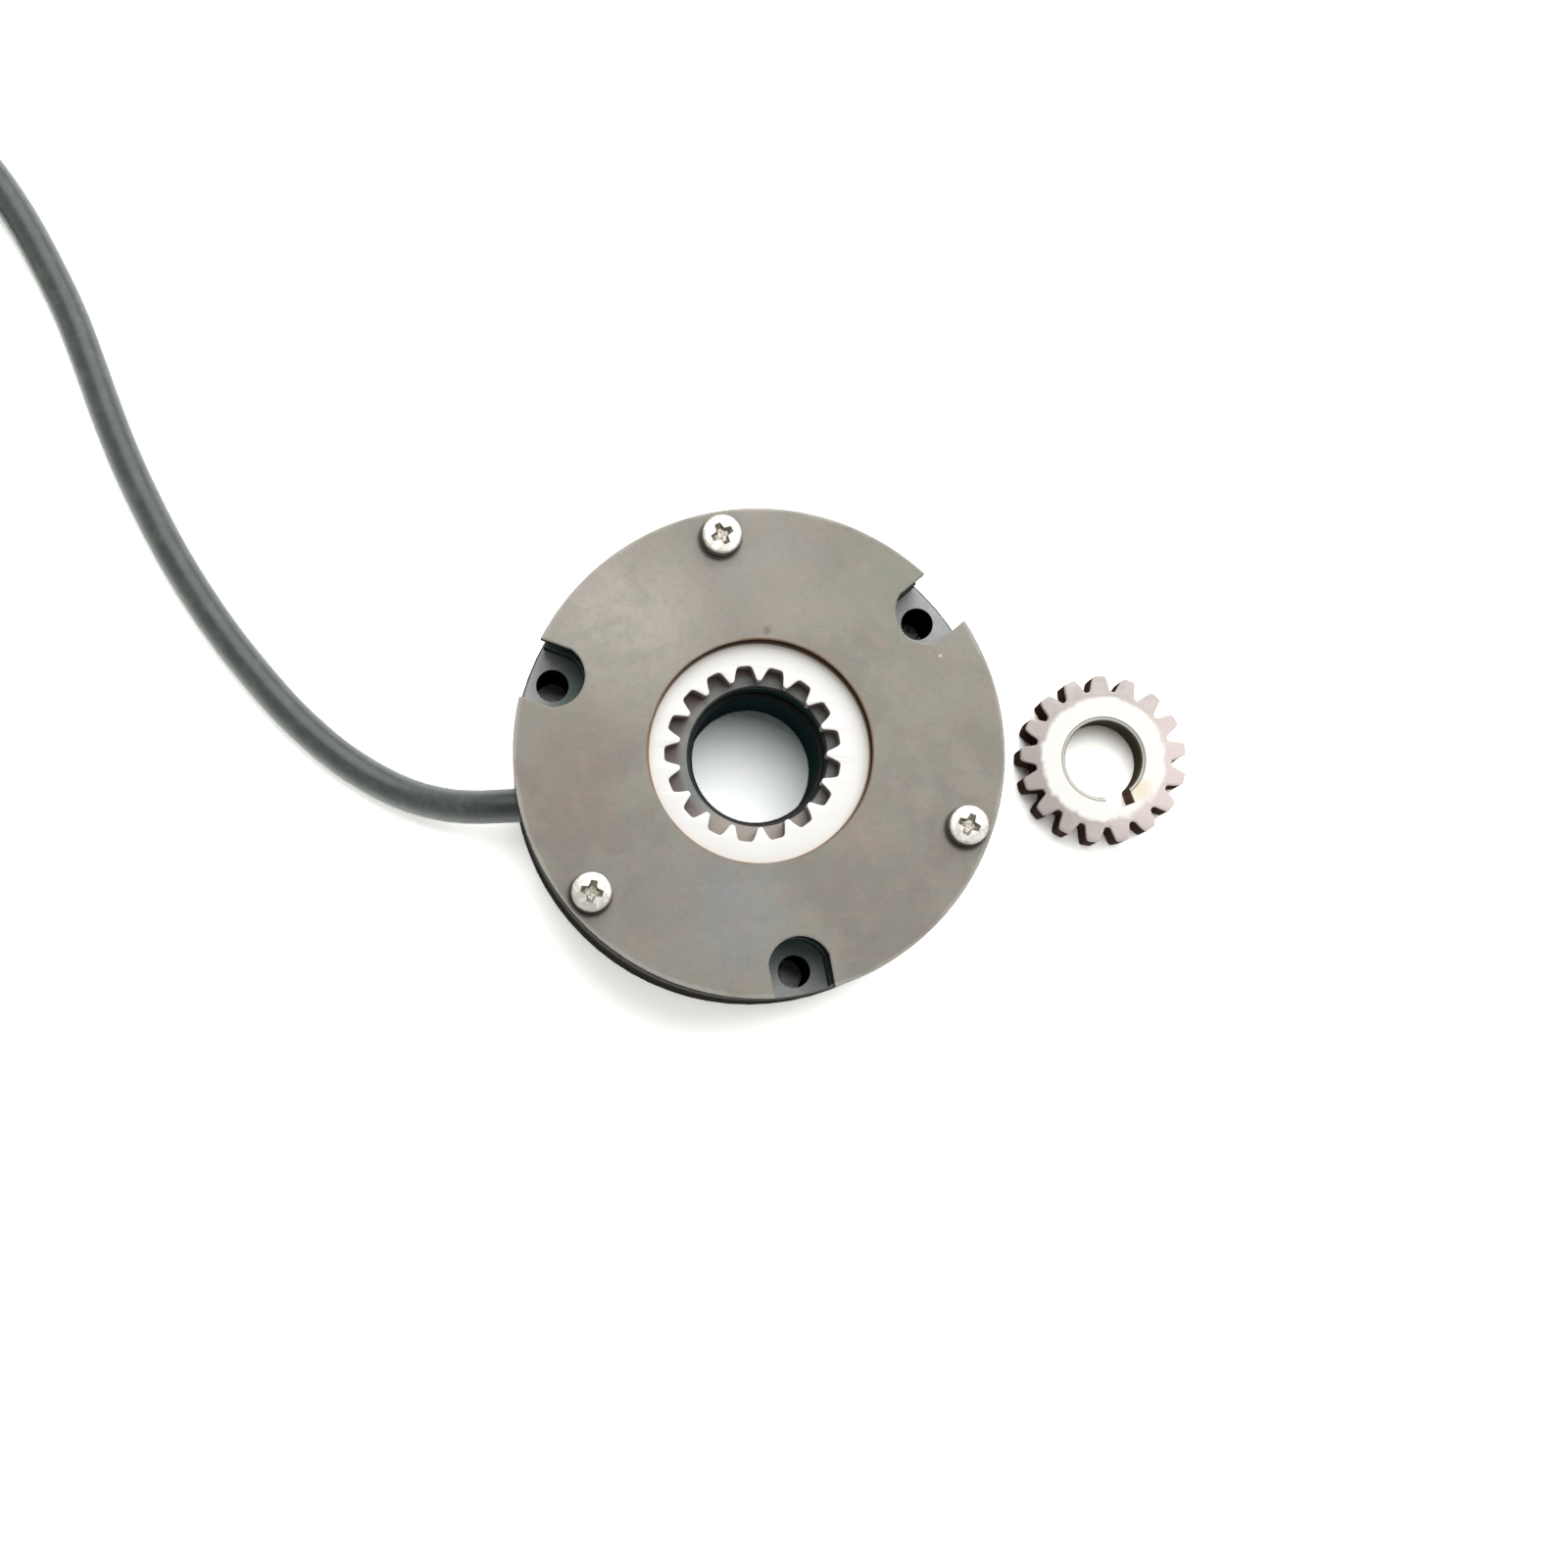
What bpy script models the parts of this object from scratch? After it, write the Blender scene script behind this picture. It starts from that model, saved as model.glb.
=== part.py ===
"""Spring applied brake with its toothed hub lying beside it, in metres, +Z up.

The brake lies on the rear face of its stator. From the floor up it is a stack on
one axis: stator with coil and springs, armature plate, toothed friction rotor and
side plate, held together by three screws through spacers. The hub that the motor
shaft carries is taken out and lies next to the brake. The origin is on the floor,
under the middle of the box that holds the brake and the hub.
"""

import math

import bmesh
import bpy
from mathutils import Matrix, Vector

# Gaps between pieces
SEAT_GAP = 0.0003
BOND_GAP = 0.0001
CUT_MARGIN = 0.002

# Facets and mesh limits
RING_SIDES = 36
BOLT_HOLE_SIDES = 26
SMALL_HOLE_SIDES = 16
NOTCH_ARC_STEPS = 12
WIRE_BEVEL_STEPS = 2
SHARP_ANGLE = 30.0
WELD_DISTANCE = 0.000001

# The magnet's rings, from the shaft's way out to the rim
STATOR_BORE_RADIUS = 0.011
INNER_POLE_WIDTH = 0.0098
COIL_SLOT_WIDTH = 0.0104
COIL_SLOT_WALL = 0.00345
BOLT_HOLE_RADIUS = 0.00285
RIM_TO_BOLTS = 0.0045
COIL_SLOT_INNER = STATOR_BORE_RADIUS + INNER_POLE_WIDTH
COIL_SLOT_OUTER = COIL_SLOT_INNER + COIL_SLOT_WIDTH
BOLT_CIRCLE_RADIUS = COIL_SLOT_OUTER + COIL_SLOT_WALL + BOLT_HOLE_RADIUS
OUTER_RADIUS = BOLT_CIRCLE_RADIUS + RIM_TO_BOLTS

# The stack, from the floor up
STATOR_HEIGHT = 0.018
AIR_GAP = 0.0005
ARMATURE_THICKNESS = 0.0048
LINING_THICKNESS = 0.0011
CARRIER_WEB = 0.0017
SIDE_PLATE_THICKNESS = 0.003
EDGE_CHAMFER = 0.0003

ARMATURE_Z = STATOR_HEIGHT + AIR_GAP
ARMATURE_TOP = ARMATURE_Z + ARMATURE_THICKNESS
ROTOR_Z = ARMATURE_TOP + SEAT_GAP
ROTOR_THICKNESS = 2 * (LINING_THICKNESS + BOND_GAP) + CARRIER_WEB
ROTOR_TOP = ROTOR_Z + ROTOR_THICKNESS
SIDE_PLATE_Z = ROTOR_TOP + SEAT_GAP
STACK_TOP = SIDE_PLATE_Z + SIDE_PLATE_THICKNESS

# Bolt circle: three fixing bolts through the notches and three screws between them
BOLT_ANGLES = (40.0, 160.0, 280.0)
SCREW_ANGLES = (100.0, 220.0, 340.0)
NOTCH_HALF_WIDTH = 0.00525
NOTCH_END_SWELL = 0.0002
NOTCH_END_RADIUS = NOTCH_HALF_WIDTH + NOTCH_END_SWELL

# Stator, coil and springs
STATOR_BACK = 0.005
BOBBIN_WALL = 0.0009
POTTING_HEIGHT = 0.0016
STATOR_SIDES = 72
SPRING_COUNT = 6
BORE_TO_SPRINGS = 0.005
SPRING_CIRCLE_RADIUS = STATOR_BORE_RADIUS + BORE_TO_SPRINGS
SPRING_POCKET_RADIUS = 0.0026
SPRING_POCKET_DEPTH = 0.0085
SPRING_WIRE_RADIUS = 0.0004
SPRING_TURNS = 3
SPRING_POINTS_PER_TURN = 7

# Armature plate
ARMATURE_INSET = 0.0006
ARMATURE_RADIUS = OUTER_RADIUS - ARMATURE_INSET
ARMATURE_BORE_STEP = 0.00085
ARMATURE_BORE_RADIUS = STATOR_BORE_RADIUS + ARMATURE_BORE_STEP
ARMATURE_SIDES = 72

# Screws and spacers
SCREW_RADIUS = 0.00195
SCREW_DEPTH_IN_STATOR = 0.008
SCREW_TIP_CHAMFER = 0.0005
SCREW_SIDES = 20
SCREW_HEAD_RADIUS = 0.0035
SCREW_HEAD_HEIGHT = 0.0024
RECESS_WIDTH = 0.0009
RECESS_LENGTH = 0.0036
RECESS_DEPTH = 0.0013
RECESS_FLOOR_LENGTH_SHARE = 0.45
RECESS_FLOOR_WIDTH_SHARE = 0.8
RECESS_ANGLES = (62.0, 20.0, 52.0)
SPACER_RADIUS = 0.0035
SPACER_CLEARANCE = 0.0005
SCREW_CLEARANCE = 0.0003
# The pan head's outline, as shares of its radius and of its height, from the top down
HEAD_OUTLINE = ((0.45, 1.0), (0.70, 0.93), (0.88, 0.76), (0.97, 0.50), (1.0, 0.08), (0.96, 0.0))

# Side plate
PLATE_OPENING_RADIUS = 0.0192
OPENING_CHAMFER = 0.00045
PLATE_SIDES = 80

# Toothed bore of the rotor and the hub that fits it
TEETH = 17
HUB_ROOT_RADIUS = 0.0123
TOOTH_HEIGHT = 0.0026
HUB_TIP_RADIUS = HUB_ROOT_RADIUS + TOOTH_HEIGHT
TOOTH_TIP_CLEARANCE = 0.00025
TOOTH_ROOT_CLEARANCE = 0.0004
# A tooth's flank, as shares of half the pitch from its middle and of its height
TOOTH_FLANK = ((0.32, 1.0), (0.44, 0.90), (0.70, 0.28), (0.77, 0.10), (0.86, 0.0))
TOOTH_BACKLASH = 0.05
ROTOR_TO_SPACER = 0.003
ROTOR_RADIUS = BOLT_CIRCLE_RADIUS - SPACER_RADIUS - ROTOR_TO_SPACER
CARRIER_SIDES = 56
LINING_SIDES = 40
BOSS_LAP_UNDER_PLATE = 0.0012
CARRIER_BOSS_RADIUS = PLATE_OPENING_RADIUS + BOSS_LAP_UNDER_PLATE
ROTOR_PHASE = 10.7
HUB_PHASE = 92.0
# The rotor hangs loose between its friction faces while the hub is out
ROTOR_OFFSET_X = -0.0011
ROTOR_OFFSET_Y = -0.0001
HUB_THICKNESS = 0.008
HUB_BORE_RADIUS = 0.007
HUB_BORE_CHAMFER = 0.0004
HUB_EDGE_CHAMFER = 0.00025
KEYWAY_WIDTH = 0.0048
KEYWAY_DEPTH = 0.0023
KEYWAY_FLOOR_RADIUS = HUB_BORE_RADIUS + KEYWAY_DEPTH
KEYWAY_ANGLE = -69.0
HUB_TO_BRAKE = 0.0067
HUB_DISTANCE_X = OUTER_RADIUS + HUB_TO_BRAKE + HUB_TIP_RADIUS
HUB_DISTANCE_Y = 0.0015

# The axis of the brake stands left of the origin, so that the origin is the box's middle
BRAKE_X = (OUTER_RADIUS - HUB_DISTANCE_X - HUB_TIP_RADIUS) / 2
HUB_X = BRAKE_X + HUB_DISTANCE_X

# Cable
CABLE_RADIUS = 0.003
CABLE_EXIT_Y = -0.0070
CABLE_EXIT_Z = 0.0088
CABLE_POINT_SPACING = 0.005
FINE_STEPS = 12
BUSH_WALL = 0.001
BUSH_INSET = 0.0007
BUSH_LENGTH = 0.007
FLOOR_GAP = 0.0001

# The coil that the far length of the cable is wound into, and its two cores
COIL_TURN_RADIUS = 0.0342
COIL_TURNS = 1.55
COIL_PITCH = 2 * CABLE_RADIUS + SEAT_GAP
COIL_CENTRE_X = -0.1737
COIL_CENTRE_Y = 0.0978
COIL_START_ANGLE = 50.0
# The ring is thinner than the cable by this inset on each face, and holds its last stretch
COIL_FACE_INSET = 0.0002
COIL_CHAMFER = 0.0014
COIL_TAIL_LENGTH = 0.035
LEAD_RADIUS = 0.0010
LEAD_SPACING = 0.0026
LEAD_SWEEP = 150.0
LEAD_STEPS = 14
LEAD_END_RADIUS = 0.0165
FERRULE_RADIUS = 0.0012
FERRULE_BARREL_RADIUS = 0.00073
FERRULE_LENGTH = 0.008
FERRULE_COLLAR = 0.0015
FERRULE_SIDES = 10

# Route of the cable from the brake's axis: out of the stator's side, down to the floor
# and along it in a wide bend, chosen by hand after the photograph
CABLE_ROUTE = (
    (-0.0365, -0.0070, 0.0088),
    (-0.0435, -0.0072, 0.0087),
    (-0.0480, -0.0073, 0.0078),
    (-0.0535, -0.0068, 0.0061),
    (-0.0600, -0.0050, 0.0042),
    (-0.0665, -0.0019, 0.0032),
    (-0.0735, 0.0027, 0.0031),
    (-0.0808, 0.0092, 0.0031),
    (-0.0870, 0.0161, 0.0031),
    (-0.0928, 0.0234, 0.0031),
    (-0.0980, 0.0309, 0.0031),
    (-0.1028, 0.0388, 0.0031),
    (-0.1071, 0.0470, 0.0031),
    (-0.1111, 0.0555, 0.0031),
    (-0.1145, 0.0640, 0.0031),
    (-0.1177, 0.0728, 0.0031),
    (-0.1211, 0.0816, 0.0031),
    (-0.1255, 0.0907, 0.0031),
    (-0.1304, 0.0996, 0.0031),
    (-0.1361, 0.1079, 0.0031),
    (-0.1427, 0.1157, 0.0031),
    (-0.1488, 0.1213, 0.0031),
)


def clear_scene():
    """Empties the scene and makes the two collections."""
    for obj in list(bpy.data.objects):
        bpy.data.objects.remove(obj)
    parts = bpy.data.collections.new("spring_applied_brake")
    cutters = bpy.data.collections.new("cutters")
    bpy.context.scene.collection.children.link(parts)
    bpy.context.scene.collection.children.link(cutters)
    cutters.hide_render = True
    return parts, cutters


PARTS, CUTTERS = clear_scene()


def make_material(name, colour, roughness, metallic):
    material = bpy.data.materials.new(name)
    material.use_nodes = True
    shader = material.node_tree.nodes["Principled BSDF"]
    shader.inputs["Base Color"].default_value = (*colour, 1.0)
    shader.inputs["Roughness"].default_value = roughness
    shader.inputs["Metallic"].default_value = metallic
    return material


def add_object(name, data, material=None, collection=None, location=(0, 0, 0)):
    obj = bpy.data.objects.new(name, data)
    (collection or PARTS).objects.link(obj)
    obj.location = location
    if material:
        obj.data.materials.append(material)
    if collection is CUTTERS:
        obj.hide_render = True
        obj.display_type = "WIRE"
    return obj


def turned(name, profile, sides, material=None, collection=None, location=(0, 0, 0)):
    """A closed profile of (radius, height) points, turned about +Z by a Screw modifier.

    The points run down the outer side and up the inner one, so the faces point out.
    """
    mesh = bpy.data.meshes.new(name)
    points = [(radius, 0.0, height) for radius, height in profile]
    on_axis = profile[0][0] == 0.0
    count = len(points) - 1 if on_axis else len(points)
    edges = [(i, (i + 1) % len(points)) for i in range(count)]
    mesh.from_pydata(points, edges, [])
    obj = add_object(name, mesh, material, collection, location)
    screw = obj.modifiers.new("turn", "SCREW")
    screw.axis = "Z"
    screw.steps = sides
    screw.render_steps = sides
    screw.use_merge_vertices = True
    screw.merge_threshold = 0.00001
    screw.use_smooth_shade = True
    return obj


def ring_profile(inner, outer, low, high):
    return [(outer, high), (outer, low), (inner, low), (inner, high)]


def chamfered_ring_profile(inner, outer, low, high, chamfer):
    """A ring with all four edges broken by the same chamfer."""
    return [
        (outer - chamfer, high),
        (outer, high - chamfer),
        (outer, low + chamfer),
        (outer - chamfer, low),
        (inner + chamfer, low),
        (inner, low + chamfer),
        (inner, high - chamfer),
        (inner + chamfer, high),
    ]


def evaluated_copy(obj):
    """Replaces an object by a plain mesh of its evaluated shape, with its caps welded."""
    bpy.context.view_layer.update()
    graph = bpy.context.evaluated_depsgraph_get()
    mesh = bpy.data.meshes.new_from_object(obj.evaluated_get(graph))
    name = obj.name
    matrix = obj.matrix_world.copy()
    collection = obj.users_collection[0]
    bpy.data.objects.remove(obj)
    work = bmesh.new()
    work.from_mesh(mesh)
    bmesh.ops.remove_doubles(work, verts=work.verts, dist=WELD_DISTANCE)
    bmesh.ops.recalc_face_normals(work, faces=work.faces)
    work.to_mesh(mesh)
    work.free()
    result = bpy.data.objects.new(name, mesh)
    collection.objects.link(result)
    result.name = name
    result.matrix_world = matrix
    if collection is CUTTERS:
        result.hide_render = True
        result.display_type = "WIRE"
    return result


def flat_plate(name, outlines, low, high, chamfer=0.0, material=None, collection=None, location=(0, 0, 0)):
    """A plate of one outer outline and its holes, as a filled 2D curve with an extrude.

    The chamfer breaks the edges of both faces without changing the outline.
    """
    curve = bpy.data.curves.new(name, "CURVE")
    curve.dimensions = "2D"
    curve.fill_mode = "BOTH"
    for outline in outlines:
        spline = curve.splines.new("POLY")
        spline.points.add(len(outline) - 1)
        for point, (x, y) in zip(spline.points, outline):
            point.co = (x, y, 0.0, 1.0)
        spline.use_cyclic_u = True
    curve.extrude = (high - low) / 2 - chamfer
    curve.bevel_depth = chamfer
    curve.bevel_resolution = 0
    curve.offset = -chamfer
    place = (location[0], location[1], location[2] + (low + high) / 2)
    plate = evaluated_copy(add_object(name, curve, material, collection, place))
    plate.data.shade_smooth()
    plate.data.set_sharp_from_angle(angle=math.radians(SHARP_ANGLE))
    return plate


def cut(target, cutter, name):
    """Takes the cutter's shape out of the target."""
    modifier = target.modifiers.new(name, "BOOLEAN")
    modifier.operation = "DIFFERENCE"
    modifier.solver = "EXACT"
    modifier.object = cutter
    return modifier


def on_circle(radius, angle, centre=(0.0, 0.0)):
    turn = math.radians(angle)
    return (centre[0] + radius * math.cos(turn), centre[1] + radius * math.sin(turn))


def arc(radius, start, end, steps, centre=(0.0, 0.0)):
    """Points on an arc from one angle to another, both ends included."""
    return [on_circle(radius, start + (end - start) * i / steps, centre) for i in range(steps + 1)]


def turned_outline(points, angle):
    turn = math.radians(angle)
    return [
        (x * math.cos(turn) - y * math.sin(turn), x * math.sin(turn) + y * math.cos(turn))
        for x, y in points
    ]


STEEL_DARK = make_material("blackened_steel", (0.30, 0.32, 0.33), 0.5, 0.9)
STEEL_GREY = make_material("phosphated_steel", (0.33, 0.31, 0.29), 0.45, 0.8)
STEEL_DULL = make_material("armature_steel", (0.45, 0.46, 0.43), 0.4, 0.9)
STEEL_BRIGHT = make_material("ground_steel", (0.80, 0.78, 0.75), 0.3, 1.0)
STEEL_SINTERED = make_material("sintered_steel", (0.62, 0.53, 0.49), 0.5, 0.8)
NICKEL = make_material("nickel_plate", (0.80, 0.79, 0.75), 0.22, 1.0)
LINING = make_material("friction_lining", (0.13, 0.10, 0.08), 0.9, 0.0)
COPPER = make_material("enamelled_copper", (0.72, 0.30, 0.13), 0.35, 1.0)
BOBBIN_PLASTIC = make_material("bobbin_plastic", (0.75, 0.72, 0.62), 0.5, 0.0)
RESIN = make_material("potting_resin", (0.03, 0.03, 0.03), 0.4, 0.0)
SPRING_STEEL = make_material("spring_steel", (0.55, 0.55, 0.56), 0.3, 1.0)
RUBBER = make_material("bush_rubber", (0.03, 0.03, 0.03), 0.7, 0.0)
CABLE_BLACK = make_material("cable_sheath", (0.025, 0.03, 0.03), 0.45, 0.0)
LEAD_RED = make_material("lead_red", (0.55, 0.04, 0.03), 0.45, 0.0)
LEAD_BLACK = make_material("lead_black", (0.03, 0.03, 0.03), 0.45, 0.0)
TIN = make_material("tinned_copper", (0.75, 0.75, 0.76), 0.3, 1.0)

BRAKE_AXIS = (BRAKE_X, 0.0, 0.0)


def at_brake(radius, angle, height=0.0):
    """A place in the brake, by its radius and angle about the brake's axis."""
    x, y = on_circle(radius, angle)
    return (BRAKE_X + x, y, height)


def round_cutter(name, radius, low, high, sides, place):
    profile = [(0.0, high), (radius, high), (radius, low), (0.0, low)]
    return turned(name, profile, sides, None, CUTTERS, place)


def notch_outline(half_width, end_radius, reach):
    """A slot open to the rim, with its round end about the bolt circle.

    The end's arc is a little wider than the slot, so it meets the straight sides
    in a slight kink just inside the bolt's centre.
    """
    half_angle = math.degrees(math.asin(min(1.0, half_width / end_radius)))
    end = arc(end_radius, 180 - half_angle, 180 + half_angle, NOTCH_ARC_STEPS, (BOLT_CIRCLE_RADIUS, 0.0))
    return [(reach, half_width)] + end + [(reach, -half_width)]


def make_notch_cutter(name, angle, half_width, end_radius, low, high):
    reach = OUTER_RADIUS + CUT_MARGIN
    outline = turned_outline(notch_outline(half_width, end_radius, reach), angle)
    return flat_plate(name, [outline], low, high, 0.0, None, CUTTERS, BRAKE_AXIS)


def tooth_outline(root, tip, widen, phase):
    """Seventeen stub teeth with rounded corners, pointing out, one at the phase angle.

    The same curve makes the hub's teeth and, widened by the backlash, the gaps that
    they slide into.
    """
    half_pitch = 180.0 / TEETH
    points = []
    for tooth in range(TEETH):
        middle = phase + 2 * half_pitch * tooth
        rising = [(-(share + widen), height) for share, height in reversed(TOOTH_FLANK)]
        falling = [(share + widen, height) for share, height in TOOTH_FLANK]
        for share, height in rising + falling:
            points.append(on_circle(root + (tip - root) * height, middle + share * half_pitch))
    return points


def make_stator():
    """The magnet body: a turned steel pot with the coil slot, bores and spring pockets."""
    top = STATOR_HEIGHT
    edge = EDGE_CHAMFER
    profile = [
        (OUTER_RADIUS - edge, top),
        (OUTER_RADIUS, top - edge),
        (OUTER_RADIUS, edge),
        (OUTER_RADIUS - edge, 0.0),
        (STATOR_BORE_RADIUS + edge, 0.0),
        (STATOR_BORE_RADIUS, edge),
        (STATOR_BORE_RADIUS, top - edge),
        (STATOR_BORE_RADIUS + edge, top),
        (COIL_SLOT_INNER, top),
        (COIL_SLOT_INNER, STATOR_BACK),
        (COIL_SLOT_OUTER, STATOR_BACK),
        (COIL_SLOT_OUTER, top),
    ]
    stator = turned("stator_housing", profile, STATOR_SIDES, STEEL_DARK, PARTS, BRAKE_AXIS)
    for number, angle in enumerate(BOLT_ANGLES, 1):
        place = at_brake(BOLT_CIRCLE_RADIUS, angle)
        high = top + CUT_MARGIN
        name = f"bolt_hole_{number}"
        hole = round_cutter(name, BOLT_HOLE_RADIUS, -CUT_MARGIN, high, BOLT_HOLE_SIDES, place)
        cut(stator, hole, f"bolt hole {number}")
    for number, angle in enumerate(SCREW_ANGLES, 1):
        place = at_brake(BOLT_CIRCLE_RADIUS, angle)
        low = top - SCREW_DEPTH_IN_STATOR - SEAT_GAP
        radius = SCREW_RADIUS + SCREW_CLEARANCE
        name = f"screw_hole_{number}"
        hole = round_cutter(name, radius, low, top + CUT_MARGIN, SMALL_HOLE_SIDES, place)
        cut(stator, hole, f"screw hole {number}")
    for number in range(SPRING_COUNT):
        place = at_brake(SPRING_CIRCLE_RADIUS, 360.0 * number / SPRING_COUNT)
        low = top - SPRING_POCKET_DEPTH
        name = f"spring_pocket_{number + 1}"
        pocket = round_cutter(name, SPRING_POCKET_RADIUS, low, top + CUT_MARGIN, SMALL_HOLE_SIDES, place)
        cut(stator, pocket, f"spring pocket {number + 1}")
    radius = CABLE_RADIUS + BUSH_WALL + 2 * SEAT_GAP
    cable_hole = round_cutter("cable_hole", radius, 0.0, OUTER_RADIUS, BOLT_HOLE_SIDES, (0, 0, 0))
    cable_hole.matrix_world = cable_way(-(COIL_SLOT_INNER + COIL_SLOT_OUTER) / 2)
    cut(stator, cable_hole, "cable hole")
    return stator


def cable_way(start_x):
    """The placement that turns a piece's +Z into the cable's way out, towards -X."""
    place = Matrix.Translation((BRAKE_X + start_x, CABLE_EXIT_Y, CABLE_EXIT_Z))
    return place @ Matrix.Rotation(math.radians(-90), 4, "Y")


def make_coil():
    """The bobbin, its copper winding and the resin that closes the slot."""
    inner = COIL_SLOT_INNER + SEAT_GAP
    outer = COIL_SLOT_OUTER - SEAT_GAP
    resin_high = STATOR_HEIGHT - SEAT_GAP
    resin_low = resin_high - POTTING_HEIGHT
    low = STATOR_BACK + SEAT_GAP
    high = resin_low - SEAT_GAP
    wall = BOBBIN_WALL
    bobbin_profile = [
        (outer, high),
        (outer, high - wall),
        (inner + wall, high - wall),
        (inner + wall, low + wall),
        (outer, low + wall),
        (outer, low),
        (inner, low),
        (inner, high),
    ]
    turned("coil_bobbin", bobbin_profile, RING_SIDES, BOBBIN_PLASTIC, PARTS, BRAKE_AXIS)
    winding_profile = ring_profile(
        inner + wall + SEAT_GAP, outer - wall, low + wall + SEAT_GAP, high - wall - SEAT_GAP
    )
    turned("coil_winding", winding_profile, RING_SIDES, COPPER, PARTS, BRAKE_AXIS)
    resin_profile = ring_profile(inner, outer, resin_low, resin_high)
    turned("potting_ring", resin_profile, RING_SIDES, RESIN, PARTS, BRAKE_AXIS)


def make_spring(number):
    """One pressure spring, from the floor of its pocket to the armature's underside."""
    radius = SPRING_POCKET_RADIUS - SPRING_WIRE_RADIUS - SEAT_GAP
    low = STATOR_HEIGHT - SPRING_POCKET_DEPTH + SPRING_WIRE_RADIUS + SEAT_GAP
    high = ARMATURE_Z - SPRING_WIRE_RADIUS - SEAT_GAP
    steps = round(SPRING_TURNS * SPRING_POINTS_PER_TURN)
    points = []
    for i in range(steps + 1):
        x, y = on_circle(radius, 360.0 * i / SPRING_POINTS_PER_TURN)
        points.append((x, y, low + (high - low) * i / steps))
    place = at_brake(SPRING_CIRCLE_RADIUS, 360.0 * (number - 1) / SPRING_COUNT)
    return round_wire(f"torque_spring_{number}", points, SPRING_WIRE_RADIUS, SPRING_STEEL, place)


def round_wire(name, points, radius, material, location=(0, 0, 0), collection=None):
    """A round wire, lead or cable along a row of points."""
    curve = bpy.data.curves.new(name, "CURVE")
    curve.dimensions = "3D"
    spline = curve.splines.new("POLY")
    spline.points.add(len(points) - 1)
    for point, place in zip(spline.points, points):
        point.co = (*place, 1.0)
    curve.bevel_depth = radius
    curve.bevel_resolution = WIRE_BEVEL_STEPS
    curve.use_fill_caps = True
    return add_object(name, curve, material, collection, location)


def make_armature():
    """The armature plate, with notches for the bolt heads and for the spacers."""
    profile = chamfered_ring_profile(
        ARMATURE_BORE_RADIUS, ARMATURE_RADIUS, 0.0, ARMATURE_THICKNESS, EDGE_CHAMFER
    )
    place = (BRAKE_X, 0.0, ARMATURE_Z)
    armature = turned("armature_plate", profile, ARMATURE_SIDES, STEEL_DULL, PARTS, place)
    low = ARMATURE_Z - SEAT_GAP
    high = ARMATURE_TOP + SEAT_GAP / 2
    for number, angle in enumerate(BOLT_ANGLES, 1):
        name = f"armature_bolt_notch_{number}"
        notch = make_notch_cutter(name, angle, NOTCH_HALF_WIDTH, NOTCH_END_RADIUS, low, high)
        cut(armature, notch, f"bolt notch {number}")
    half_width = SPACER_RADIUS + SPACER_CLEARANCE
    for number, angle in enumerate(SCREW_ANGLES, 1):
        name = f"spacer_notch_{number}"
        notch = make_notch_cutter(name, angle, half_width, half_width, low, high)
        cut(armature, notch, f"spacer notch {number}")
    return armature


def make_rotor():
    """The toothed steel carrier with a friction lining on each side of its web."""
    rotor_axis = (BRAKE_X + ROTOR_OFFSET_X, ROTOR_OFFSET_Y, ROTOR_Z)
    web_low = LINING_THICKNESS + BOND_GAP
    web_high = web_low + CARRIER_WEB
    boss = CARRIER_BOSS_RADIUS
    # The blank's own bore goes when the toothed bore is broached through it
    blank_bore = HUB_ROOT_RADIUS / 2
    profile = [
        (boss, ROTOR_THICKNESS),
        (boss, web_high),
        (ROTOR_RADIUS, web_high),
        (ROTOR_RADIUS, web_low),
        (boss, web_low),
        (boss, 0.0),
        (blank_bore, 0.0),
        (blank_bore, ROTOR_THICKNESS),
    ]
    carrier = turned("rotor_carrier", profile, CARRIER_SIDES, STEEL_BRIGHT, PARTS, rotor_axis)
    root = HUB_ROOT_RADIUS + TOOTH_ROOT_CLEARANCE
    tip = HUB_TIP_RADIUS + TOOTH_TIP_CLEARANCE
    gaps = tooth_outline(root, tip, TOOTH_BACKLASH, ROTOR_PHASE)
    broach = flat_plate(
        "rotor_broach", [gaps], -CUT_MARGIN, ROTOR_THICKNESS + CUT_MARGIN, 0.0, None, CUTTERS, rotor_axis
    )
    cut(carrier, broach, "toothed bore")
    for side, low in (("lower", 0.0), ("upper", ROTOR_THICKNESS - LINING_THICKNESS)):
        lining = ring_profile(boss + SEAT_GAP, ROTOR_RADIUS, low, low + LINING_THICKNESS)
        turned(f"friction_lining_{side}", lining, LINING_SIDES, LINING, PARTS, rotor_axis)
    return carrier


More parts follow.
